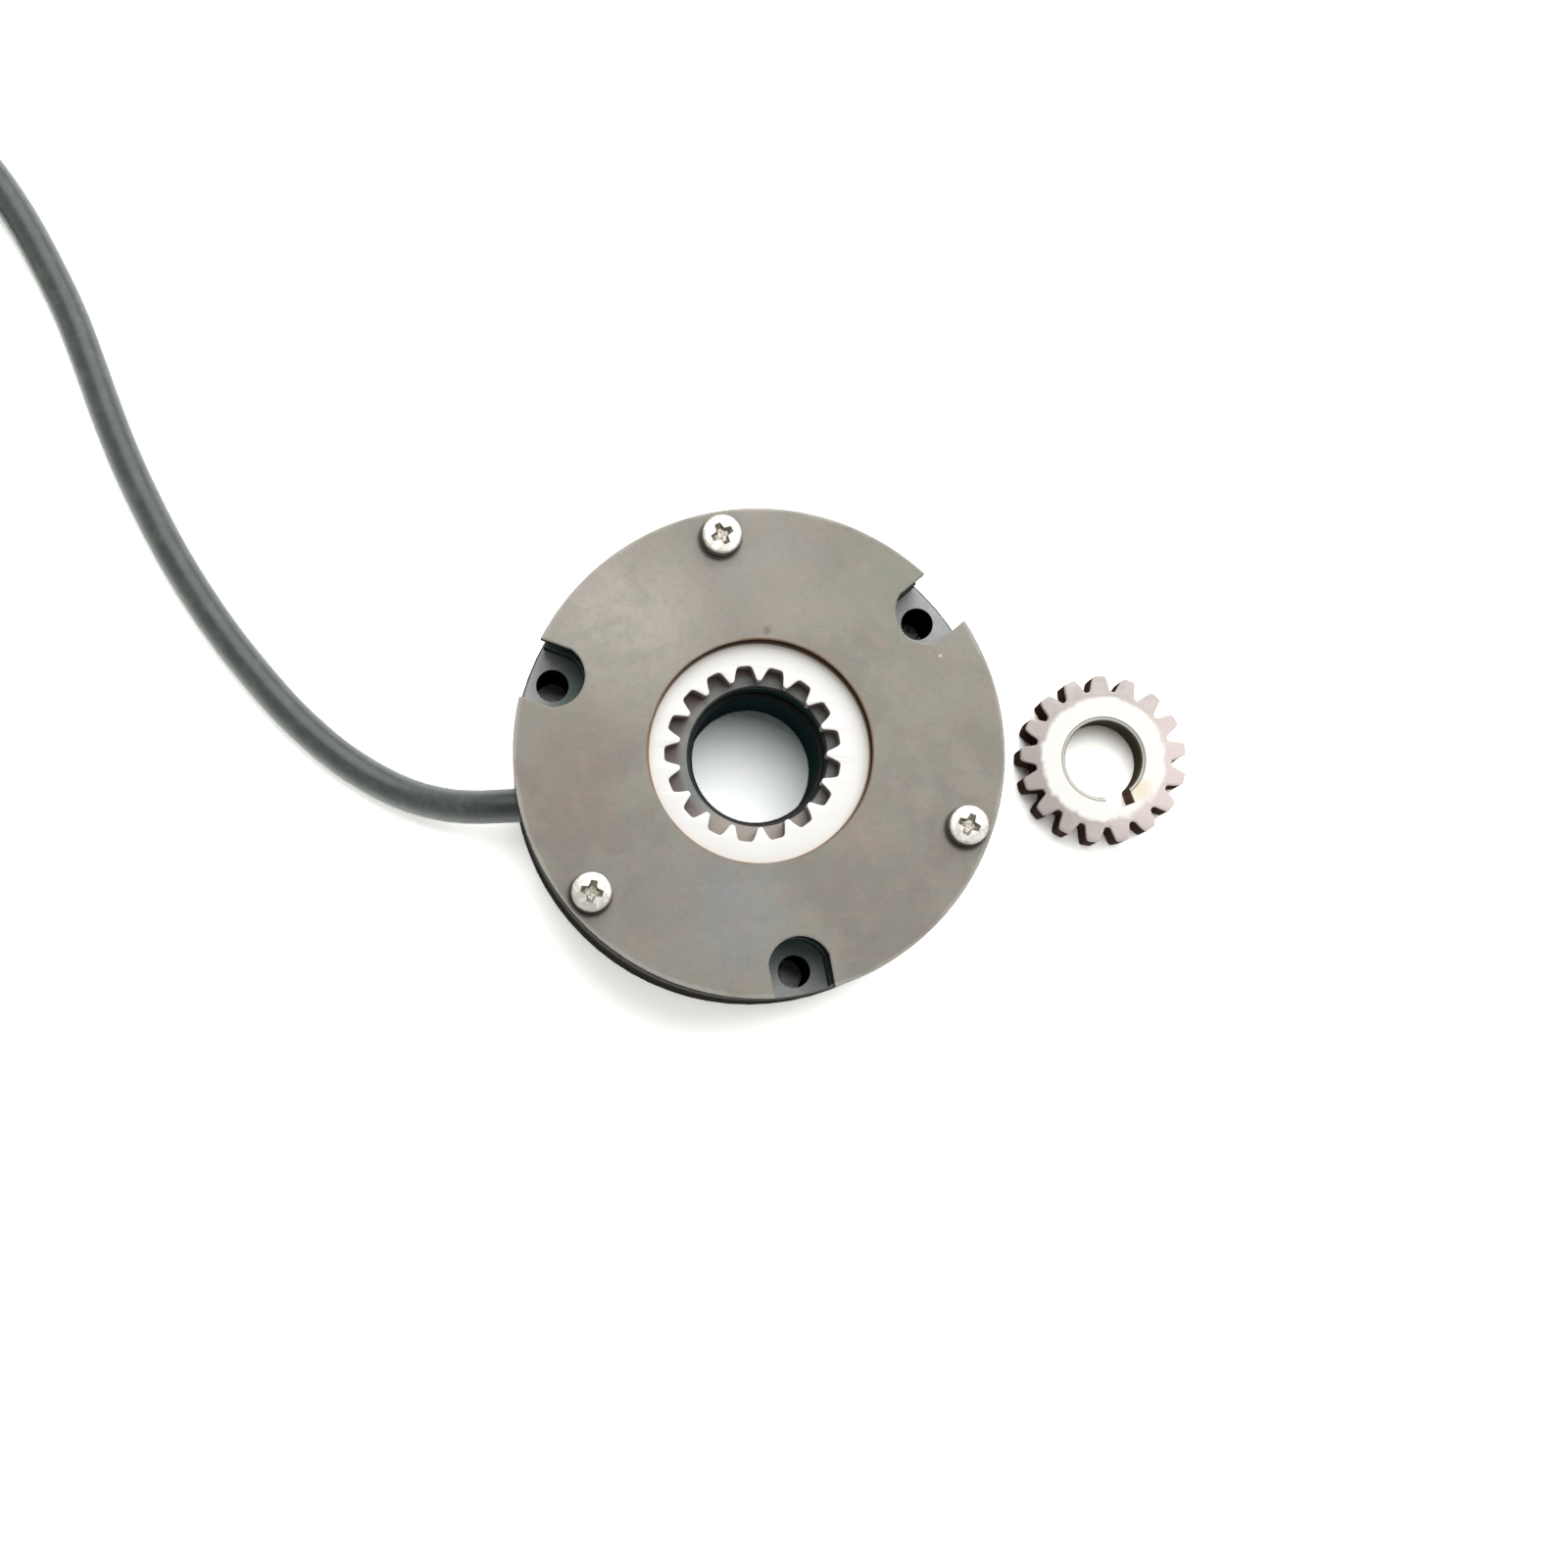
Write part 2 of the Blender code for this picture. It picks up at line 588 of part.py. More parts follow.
def make_side_plate():
    """The side plate that the rotor is pressed against, open to the rim at the bolts."""
    top = SIDE_PLATE_THICKNESS
    edge = EDGE_CHAMFER
    profile = [
        (OUTER_RADIUS - edge, top),
        (OUTER_RADIUS, top - edge),
        (OUTER_RADIUS, 0.0),
        (PLATE_OPENING_RADIUS, 0.0),
        (PLATE_OPENING_RADIUS, top - OPENING_CHAMFER),
        (PLATE_OPENING_RADIUS + OPENING_CHAMFER, top),
    ]
    plate = turned("side_plate", profile, PLATE_SIDES, STEEL_GREY, PARTS, (BRAKE_X, 0.0, SIDE_PLATE_Z))
    low = SIDE_PLATE_Z - SEAT_GAP / 2
    high = STACK_TOP + CUT_MARGIN
    for number, angle in enumerate(BOLT_ANGLES, 1):
        name = f"plate_notch_{number}"
        notch = make_notch_cutter(name, angle, NOTCH_HALF_WIDTH, NOTCH_END_RADIUS, low, high)
        cut(plate, notch, f"notch {number}")
    for number, angle in enumerate(SCREW_ANGLES, 1):
        place = at_brake(BOLT_CIRCLE_RADIUS, angle)
        radius = SCREW_RADIUS + SCREW_CLEARANCE
        hole = round_cutter(f"plate_screw_hole_{number}", radius, low, high, SMALL_HOLE_SIDES, place)
        cut(plate, hole, f"screw hole {number}")
    return plate


def make_spacer(number, angle):
    """A sleeve between the stator and the side plate, which also guides the armature."""
    low = STATOR_HEIGHT + SEAT_GAP
    high = SIDE_PLATE_Z - SEAT_GAP
    profile = ring_profile(SCREW_RADIUS + SCREW_CLEARANCE, SPACER_RADIUS, low, high)
    place = at_brake(BOLT_CIRCLE_RADIUS, angle)
    return turned(f"spacer_{number}", profile, SMALL_HOLE_SIDES, NICKEL, PARTS, place)


def make_screw(number, angle):
    """A pan head screw with a cross recess, from the side plate into the stator."""
    head_low = STACK_TOP + SEAT_GAP
    head_high = head_low + SCREW_HEAD_HEIGHT
    end = STATOR_HEIGHT - SCREW_DEPTH_IN_STATOR
    profile = [(0.0, head_high)]
    for share, height in HEAD_OUTLINE:
        profile.append((share * SCREW_HEAD_RADIUS, head_low + height * SCREW_HEAD_HEIGHT))
    profile += [
        (SCREW_RADIUS, head_low),
        (SCREW_RADIUS, end + SCREW_TIP_CHAMFER),
        (SCREW_RADIUS - SCREW_TIP_CHAMFER, end),
        (0.0, end),
    ]
    place = at_brake(BOLT_CIRCLE_RADIUS, angle)
    screw = turned(f"plate_screw_{number}", profile, SCREW_SIDES, NICKEL, PARTS, place)
    for arm in range(2):
        name = f"recess_{number}_{arm + 1}"
        recess = tapered_box(name, RECESS_LENGTH, RECESS_WIDTH, RECESS_DEPTH)
        recess.location = (*place[:2], head_high - RECESS_DEPTH)
        recess.rotation_euler = (0.0, 0.0, math.radians(RECESS_ANGLES[number - 1] + 90 * arm))
        cut(screw, recess, f"recess arm {arm + 1}")
    return screw


def tapered_box(name, length, width, depth):
    """A recess arm: full size at the top, drawn in towards its floor."""
    mesh = bpy.data.meshes.new(name)
    work = bmesh.new()
    bmesh.ops.create_cube(work, size=1.0)
    spread = (1 - RECESS_FLOOR_LENGTH_SHARE) * CUT_MARGIN / depth
    for vertex in work.verts:
        at_floor = vertex.co.z < 0
        vertex.co.x *= length * (RECESS_FLOOR_LENGTH_SHARE if at_floor else 1.0 + spread)
        vertex.co.y *= width * (RECESS_FLOOR_WIDTH_SHARE if at_floor else 1.0)
        vertex.co.z = 0.0 if at_floor else depth + CUT_MARGIN
    work.to_mesh(mesh)
    work.free()
    return add_object(name, mesh, None, CUTTERS)


def make_hub():
    """The toothed hub with its keyed bore, lying on the floor beside the brake."""
    place = (HUB_X, HUB_DISTANCE_Y, 0.0)
    teeth = tooth_outline(HUB_ROOT_RADIUS, HUB_TIP_RADIUS, 0.0, HUB_PHASE)
    edge = HUB_EDGE_CHAMFER
    hub = flat_plate("rotor_hub", [teeth], 0.0, HUB_THICKNESS, edge, STEEL_SINTERED, PARTS, place)
    edge = HUB_BORE_CHAMFER
    radius = HUB_BORE_RADIUS
    bore_profile = [
        (0.0, HUB_THICKNESS + CUT_MARGIN),
        (radius + edge + CUT_MARGIN, HUB_THICKNESS + CUT_MARGIN),
        (radius, HUB_THICKNESS - edge),
        (radius, edge),
        (radius + edge + CUT_MARGIN, -CUT_MARGIN),
        (0.0, -CUT_MARGIN),
    ]
    bore = turned("hub_bore", bore_profile, RING_SIDES, None, CUTTERS, place)
    cut(hub, bore, "bore")
    half = KEYWAY_WIDTH / 2
    slot = [(0.0, -half), (KEYWAY_FLOOR_RADIUS, -half), (KEYWAY_FLOOR_RADIUS, half), (0.0, half)]
    slot = turned_outline(slot, KEYWAY_ANGLE)
    keyway = flat_plate(
        "keyway", [slot], -CUT_MARGIN, HUB_THICKNESS + CUT_MARGIN, 0.0, None, CUTTERS, place
    )
    cut(hub, keyway, "keyway")
    return hub


def make_cable_bush():
    """The rubber bush that the cable leaves the stator through."""
    inner = CABLE_RADIUS + SEAT_GAP
    outer = inner + BUSH_WALL
    bush = turned("cable_bush", ring_profile(inner, outer, 0.0, BUSH_LENGTH), BOLT_HOLE_SIDES, RUBBER)
    rim = math.sqrt(OUTER_RADIUS**2 - (abs(CABLE_EXIT_Y) + outer) ** 2)
    bush.matrix_world = cable_way(-(rim - BUSH_INSET - BUSH_LENGTH))
    return bush


def smooth_route(points, spacing):
    """Points at about equal spacing on a Catmull-Rom curve through the given ones."""
    points = [Vector(point) for point in points]
    padded = [2 * points[0] - points[1]] + points + [2 * points[-1] - points[-2]]
    fine = []
    for a, b, c, d in zip(padded, padded[1:], padded[2:], padded[3:]):
        for i in range(FINE_STEPS):
            t = i / FINE_STEPS
            bend = (2 * a - 5 * b + 4 * c - d) * t**2
            twist = (3 * b - a - 3 * c + d) * t**3
            fine.append(0.5 * (2 * b + (c - a) * t + bend + twist))
    fine.append(points[-1])
    length = sum((q - p).length for p, q in zip(fine, fine[1:]))
    count = round(length / spacing)
    result = [fine[0]]
    walked = 0.0
    for p, q in zip(fine, fine[1:]):
        step = (q - p).length
        while len(result) < count and walked + step >= length * len(result) / count:
            part = (length * len(result) / count - walked) / step
            result.append(p.lerp(q, part))
        walked += step
    result.append(fine[-1])
    return result


def make_cable():
    """The cable along the floor, the ring that its coiled length fills and its cores."""
    centre = (BRAKE_X + COIL_CENTRE_X, COIL_CENTRE_Y)
    route = [(BRAKE_X + x, y, z) for x, y, z in CABLE_ROUTE]
    start = on_circle(COIL_TURN_RADIUS, COIL_START_ANGLE, centre)
    route.append((*start, FLOOR_GAP + CABLE_RADIUS))
    points = smooth_route(route, CABLE_POINT_SPACING)
    tail_points = 1 + round(COIL_TAIL_LENGTH / CABLE_POINT_SPACING)
    tail = points[-tail_points:]
    gap = SEAT_GAP * (tail[0] - points[-tail_points - 1]).normalized()
    laid = points[:-tail_points] + [tail[0] - gap]
    round_wire("brake_cable", laid, CABLE_RADIUS, CABLE_BLACK)

    outer = COIL_TURN_RADIUS + CABLE_RADIUS
    inner = COIL_TURN_RADIUS - COIL_PITCH * COIL_TURNS - CABLE_RADIUS
    low = FLOOR_GAP + COIL_FACE_INSET
    high = FLOOR_GAP + 2 * CABLE_RADIUS - COIL_FACE_INSET
    profile = chamfered_ring_profile(inner, outer, low, high, COIL_CHAMFER)
    coil = turned("cable_coil", profile, RING_SIDES, CABLE_BLACK, PARTS, (*centre, 0.0))
    wire = round_wire("coil_tail", tail, CABLE_RADIUS, None, collection=CUTTERS)
    union = cut(coil, evaluated_copy(wire), "tail of the coil")
    union.operation = "UNION"
    end_angle = COIL_START_ANGLE + 360.0 * COIL_TURNS
    make_lead(1, centre, inner, end_angle, LEAD_RED)
    make_lead(2, centre, inner, end_angle, LEAD_BLACK)


def make_lead(number, centre, wall_radius, start_angle, material):
    """One core of the cable, curling inside the coil, with a ferrule on its end."""
    start_radius = wall_radius - LEAD_SPACING / 2 - (number - 1) * LEAD_SPACING
    end_radius = LEAD_END_RADIUS - (number - 1) * 2 * LEAD_SPACING
    points = []
    for i in range(LEAD_STEPS + 1):
        share = i / LEAD_STEPS
        radius = start_radius + (end_radius - start_radius) * share**2
        x, y = on_circle(radius, start_angle + LEAD_SWEEP * share, centre)
        drop = (CABLE_RADIUS - FERRULE_RADIUS) * (1 - (1 - share) ** 2)
        points.append(Vector((x, y, FLOOR_GAP + CABLE_RADIUS - drop)))
    round_wire(f"lead_{number}", points, LEAD_RADIUS, material)
    heading = (points[-1] - points[-2]).normalized()
    heading.z = 0.0
    start = points[-1] + SEAT_GAP * heading
    barrel = FERRULE_BARREL_RADIUS
    profile = [
        (0.0, FERRULE_LENGTH),
        (barrel, FERRULE_LENGTH),
        (barrel, FERRULE_COLLAR + FERRULE_RADIUS - barrel),
        (FERRULE_RADIUS, FERRULE_COLLAR),
        (FERRULE_RADIUS, 0.0),
        (0.0, 0.0),
    ]
    ferrule = turned(f"ferrule_{number}", profile, FERRULE_SIDES, TIN)
    turn = heading.to_track_quat("Z", "Y").to_matrix().to_4x4()
    ferrule.matrix_world = Matrix.Translation(start) @ turn


make_stator()
make_coil()
for index in range(1, SPRING_COUNT + 1):
    make_spring(index)
make_armature()
make_rotor()
make_side_plate()
for index, screw_angle in enumerate(SCREW_ANGLES, 1):
    make_spacer(index, screw_angle)
    make_screw(index, screw_angle)
make_hub()
make_cable_bush()
make_cable()
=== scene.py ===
"""Looks of the spring applied brake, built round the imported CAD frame. Metres, +Z up."""

import math

import bmesh
import bpy
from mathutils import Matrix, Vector


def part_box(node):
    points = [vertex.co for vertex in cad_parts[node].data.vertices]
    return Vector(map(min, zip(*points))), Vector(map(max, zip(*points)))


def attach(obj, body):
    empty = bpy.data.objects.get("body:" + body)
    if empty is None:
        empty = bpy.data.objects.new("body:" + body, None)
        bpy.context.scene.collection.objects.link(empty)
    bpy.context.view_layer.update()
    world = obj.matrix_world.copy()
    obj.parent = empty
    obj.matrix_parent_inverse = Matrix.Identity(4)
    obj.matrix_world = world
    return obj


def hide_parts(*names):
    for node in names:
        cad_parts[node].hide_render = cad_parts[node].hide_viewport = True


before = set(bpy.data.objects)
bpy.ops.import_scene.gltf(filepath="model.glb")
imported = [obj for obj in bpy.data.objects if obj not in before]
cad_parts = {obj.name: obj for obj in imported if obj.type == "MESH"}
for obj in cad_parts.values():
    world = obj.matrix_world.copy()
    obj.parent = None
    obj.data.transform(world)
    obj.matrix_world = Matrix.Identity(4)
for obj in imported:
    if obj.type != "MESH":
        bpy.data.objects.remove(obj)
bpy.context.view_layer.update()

# Places that the frame gives
STATOR_LOW, STATOR_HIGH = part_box("stator_housing")
PLATE_LOW, PLATE_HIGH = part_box("side_plate")
ARMATURE_LOW, ARMATURE_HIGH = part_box("armature_plate")
CARRIER_LOW, CARRIER_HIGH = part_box("rotor_carrier")
HUB_LOW, HUB_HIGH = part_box("rotor_hub")
SCREW_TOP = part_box("plate_screw_1")[1].z
BRAKE_X = (STATOR_LOW.x + STATOR_HIGH.x) / 2
OUTER_RADIUS = (STATOR_HIGH.x - STATOR_LOW.x) / 2

# Sizes that the fine pieces share with the CAD
BOLT_CIRCLE_RADIUS = 0.0375
BOLT_ANGLES = (40.0, 160.0, 280.0)
SCREW_ANGLES = (100.0, 220.0, 340.0)
BOLT_NOTCH = (0.00525, 0.00545)
SPACER_NOTCH = (0.0040, 0.0040)
PLATE_OPENING_RADIUS = 0.0192
SCREW_HOLE_RADIUS = 0.00225
ARMATURE_RADIUS = 0.0414
ARMATURE_BORE_RADIUS = 0.01185
TEETH = 17
ROTOR_CENTRE = (BRAKE_X - 0.0011, -0.0001)
ROTOR_PHASE = 10.7
GAP_ROOT_RADIUS = 0.0127
GAP_TIP_RADIUS = 0.01515
CARRIER_RADIUS = 0.031
CARRIER_BOSS_RADIUS = 0.0204
CARRIER_WEB = 0.0017
HUB_CENTRE = (BRAKE_X + 0.0636, 0.0015)
HUB_PHASE = 92.0
HUB_BORE_CHAMFER = 0.00055
HUB_ROOT_RADIUS = 0.0123
HUB_TIP_RADIUS = 0.0151
HUB_BORE_RADIUS = 0.007
KEYWAY_WIDTH = 0.0048
KEYWAY_FLOOR_RADIUS = 0.0093
KEYWAY_ANGLE = -69.0
# A tooth's flank, as shares of half the pitch from its middle and of its height
TOOTH_FLANK = (
    (0.0, 1.0), (0.24, 1.0), (0.33, 0.985), (0.40, 0.93), (0.455, 0.84), (0.50, 0.74), (0.60, 0.50),
    (0.69, 0.27), (0.745, 0.14), (0.80, 0.055), (0.87, 0.01), (0.94, 0.0),
)
GAP_BACKLASH = 0.04

# Rounded edges of the fine pieces, and how far a cutter stands out of what it cuts
PLATE_EDGE = 0.00025
ARMATURE_EDGE = 0.0002
BOSS_EDGE = 0.00015
WEB_EDGE = 0.0001
HUB_EDGE = 0.00022
SCREW_EDGE = 0.00006
WEB_OVERLAP = 0.0005
CUTTER_OVERSHOOT = 0.001
WELD_DISTANCE = 0.000001
ROUND_SIDES = 144

# Screws
HEAD_RADIUS = 0.0035
HEAD_HEIGHT = 0.0024
HEAD_CROWN = 0.00015
HEAD_ROUNDING = 0.00045
HEAD_TAPER = 0.00010
HEAD_FOOT_HEIGHT = 0.0003
SHANK_RADIUS = 0.00195
SHANK_CHAMFER = 0.0005
RECESS_ANGLES = (27.0, 77.0, 68.0)

# Cable: the CAD's own route, and the coil that its far length is wound into
CABLE_RADIUS = 0.003
CABLE_Z = 0.0031
CABLE_ROUTE = (
    (-0.0365, -0.0070, 0.0088),
    (-0.0435, -0.0072, 0.0087),
    (-0.0480, -0.0073, 0.0078),
    (-0.0535, -0.0068, 0.0061),
    (-0.0600, -0.0050, 0.0042),
    (-0.0665, -0.0019, 0.0032),
    (-0.0735, 0.0027, 0.0031),
    (-0.0808, 0.0092, 0.0031),
    (-0.0870, 0.0161, 0.0031),
    (-0.0928, 0.0234, 0.0031),
    (-0.0980, 0.0309, 0.0031),
    (-0.1028, 0.0388, 0.0031),
    (-0.1071, 0.0470, 0.0031),
    (-0.1111, 0.0555, 0.0031),
    (-0.1145, 0.0640, 0.0031),
    (-0.1177, 0.0728, 0.0031),
    (-0.1211, 0.0816, 0.0031),
    (-0.1255, 0.0907, 0.0031),
    (-0.1304, 0.0996, 0.0031),
    (-0.1361, 0.1079, 0.0031),
    (-0.1427, 0.1157, 0.0031),
    (-0.1488, 0.1213, 0.0031),
)
COIL_CENTRE = (BRAKE_X - 0.1737, 0.0978)
COIL_TURN_RADIUS = 0.0342
COIL_TURNS = 1.55
COIL_PITCH = 0.0063
COIL_START_ANGLE = 50.0
COIL_POINTS_PER_TURN = 24
COIL_END_SHARE = 0.24
CABLE_POINT_SPACING = 0.0028
LEAD_POINT_SPACING = 0.0015
LEAD_RADIUS = 0.0010
LEAD_SPACING = 0.0026
LEAD_SWEEP = 150.0
LEAD_END_RADIUS = 0.0165
FERRULE_RADIUS = 0.0012

# Camera: place and tilt found by fitting the photograph's circles
CAMERA_PLACE = (BRAKE_X - 0.03856, -0.06028, 0.52569)
CAMERA_TILT = (6.312, -4.859, -0.440)
CAMERA_LENS = 67.5

# Light and floor
KEY_LEAN = 32.0
KEY_TURN = 70.0
KEY_DISTANCE = 0.9
KEY_SIZE = 1.00
KEY_POWER = 7.7
SKY_LOW = 1.40
SKY_HIGH = 0.06
SKY_FADE_END = 0.9
FLOOR_SIZE = 3.0
FLOOR_COLOUR = (0.80, 0.80, 0.79, 1.0)
FLOOR_SEEN_COLOUR = (3.05, 3.05, 2.95, 1.0)


# Shapes

def on_circle(radius, angle, centre=(0.0, 0.0)):
    turn = math.radians(angle)
    return (centre[0] + radius * math.cos(turn), centre[1] + radius * math.sin(turn))


def arc(radius, start, end, steps, centre=(0.0, 0.0)):
    """Points on an arc from one angle to another, both ends included."""
    return [on_circle(radius, start + (end - start) * i / steps, centre) for i in range(steps + 1)]


def circle(radius, sides, centre=(0.0, 0.0)):
    return arc(radius, 0.0, 360.0, sides, centre)[:-1]


def turned_points(points, angle):
    turn = math.radians(angle)
    return [
        (x * math.cos(turn) - y * math.sin(turn), x * math.sin(turn) + y * math.cos(turn))
        for x, y in points
    ]


def notched_disc(radius, notches):
    """A disc's outline with slots open to its rim, each given as (angle, half width, end radius)."""
    outline = []
    notches = sorted(notches)
    for number, (angle, half, end) in enumerate(notches):
        previous_angle, previous_half, _ = notches[number - 1]
        if number == 0:
            previous_angle -= 360.0
        start = previous_angle + math.degrees(math.asin(previous_half / radius))
        stop = angle - math.degrees(math.asin(half / radius))
        outline += arc(radius, start, stop, max(8, round(stop - start)))
        kink = math.degrees(math.asin(half / end))
        end_arc = arc(end, 180.0 + kink, 180.0 - kink, 26, (BOLT_CIRCLE_RADIUS, 0.0))
        outline += turned_points(end_arc, angle)
    return outline


def tooth_outline(root, tip, phase, widen=0.0):
    """Seventeen stub teeth with rounded corners, one with its middle at the phase angle."""
    half_pitch = 180.0 / TEETH
    points = []
    for tooth in range(TEETH):
        middle = phase + 2 * half_pitch * tooth
        falling = [(share + widen * math.sin(math.pi * share), height) for share, height in TOOTH_FLANK]
        rising = [(-share, height) for share, height in reversed(falling[1:])]
        for share, height in rising + falling:
            points.append(on_circle(root + (tip - root) * height, middle + share * half_pitch))
    return points


def shaded(obj, angle=35.0):
    """Smooth shading that stays flat on flat faces and sharp at real edges."""
    obj.data.shade_smooth()
    obj.data.set_sharp_from_angle(angle=math.radians(angle))
    normals = obj.modifiers.new("normals", "WEIGHTED_NORMAL")
    normals.keep_sharp = True
    return obj


def add(name, data, material):
    obj = bpy.data.objects.new(name, data)
    bpy.context.scene.collection.objects.link(obj)
    data.materials.append(material)
    return obj


def evaluated_mesh(obj):
    """The mesh that an object's modifiers or curve settings give."""
    bpy.context.view_layer.update()
    graph = bpy.context.evaluated_depsgraph_get()
    return bpy.data.meshes.new_from_object(obj.evaluated_get(graph))


def plain_mesh(obj):
    """An object's evaluated mesh, welded and in world metres, with the object itself removed."""
    mesh = evaluated_mesh(obj)
    work = bmesh.new()
    work.from_mesh(mesh)
    bmesh.ops.transform(work, matrix=obj.matrix_world, verts=work.verts)
    bmesh.ops.remove_doubles(work, verts=work.verts, dist=2 * WELD_DISTANCE)
    bmesh.ops.recalc_face_normals(work, faces=work.faces)
    work.to_mesh(mesh)
    work.free()
    bpy.data.objects.remove(obj)
    return mesh


def plate(name, outlines, low, high, bevel, centre, material, steps=2):
    """A plate of one outer outline and its holes, with rounded edges, from a filled curve."""
    curve = bpy.data.curves.new(name, "CURVE")
    curve.dimensions = "2D"
    curve.fill_mode = "BOTH"
    for outline in outlines:
        spline = curve.splines.new("POLY")
        spline.points.add(len(outline) - 1)
        for point, (x, y) in zip(spline.points, outline):
            point.co = (x, y, 0.0, 1.0)
        spline.use_cyclic_u = True
    curve.extrude = (high - low) / 2 - bevel
    curve.bevel_depth = bevel
    curve.bevel_resolution = steps
    curve.offset = -bevel
    flat = add(name + "_curve", curve, material)
    flat.location = (*centre, (low + high) / 2)
    mesh = plain_mesh(flat)
    mesh.name = name
    piece = bpy.data.objects.new(name, mesh)
    bpy.context.scene.collection.objects.link(piece)
    return piece


def turned_piece(name, profile, sides, material, place):
    """An outline of (radius, height) points from axis to axis, turned about +Z."""
    work = bmesh.new()
    rings = []
    for i in range(sides):
        angle = 360.0 * i / sides
        rings.append([work.verts.new((*on_circle(radius, angle), height)) for radius, height in profile])
    for i in range(sides):
        near = rings[i]
        far = rings[(i + 1) % sides]
        for j in range(len(profile) - 1):
            work.faces.new((near[j], near[j + 1], far[j + 1], far[j]))
    bmesh.ops.remove_doubles(work, verts=work.verts, dist=WELD_DISTANCE)
    bmesh.ops.dissolve_degenerate(work, edges=work.edges, dist=WELD_DISTANCE / 2)
    bmesh.ops.recalc_face_normals(work, faces=work.faces)
    bmesh.ops.translate(work, verts=work.verts, vec=place)
    mesh = bpy.data.meshes.new(name)
    work.to_mesh(mesh)
    work.free()
    return add(name, mesh, material)


def cut_by(piece, cutter, operation="DIFFERENCE", own_finish=False):
    """Applies a Boolean with the cutter, whose cut faces may keep its finish, and removes the cutter."""
    modifier = piece.modifiers.new("cut", "BOOLEAN")
    modifier.operation = operation
    modifier.solver = "EXACT"
    modifier.material_mode = "TRANSFER" if own_finish else "INDEX"
    modifier.object = cutter
    mesh = evaluated_mesh(piece)
    piece.modifiers.clear()
    piece.data = mesh
    bpy.data.objects.remove(cutter)
    return piece


def smooth_route(points, spacing):
    """Points at about equal spacing on a Catmull-Rom curve through the given ones."""
    points = [Vector(point) for point in points]
    padded = [2 * points[0] - points[1]] + points + [2 * points[-1] - points[-2]]
    steps = 12
    fine = []
    for a, b, c, d in zip(padded, padded[1:], padded[2:], padded[3:]):
        for i in range(steps):
            t = i / steps
            bend = (2 * a - 5 * b + 4 * c - d) * t**2
            twist = (3 * b - a - 3 * c + d) * t**3
            fine.append(0.5 * (2 * b + (c - a) * t + bend + twist))
    fine.append(points[-1])
    length = sum((q - p).length for p, q in zip(fine, fine[1:]))
    count = round(length / spacing)
    result = [fine[0]]
    walked = 0.0
    for p, q in zip(fine, fine[1:]):
        step = (q - p).length
        while len(result) < count and walked + step >= length * len(result) / count:
            part = (length * len(result) / count - walked) / step
            result.append(p.lerp(q, part))
        walked += step
    result.append(fine[-1])
    return result


def round_cord(name, points, radius, material, level=6):
    """A round cord as a curve of one open spline."""
    curve = bpy.data.curves.new(name, "CURVE")
    curve.dimensions = "3D"
    spline = curve.splines.new("POLY")
    spline.points.add(len(points) - 1)
    for point, place in zip(spline.points, points):
        point.co = (*place, 1.0)
    spline.use_smooth = True
    curve.bevel_depth = radius
    curve.bevel_resolution = level
    curve.use_fill_caps = True
    return add(name, curve, material)


# Materials

def srgb(red, green, blue):
    """A colour given as 0 to 255 screen values, as the linear one that Blender needs."""
    return tuple(
        c / 255 / 12.92 if c <= 10 else ((c / 255 + 0.055) / 1.055) ** 2.4 for c in (red, green, blue)
    )


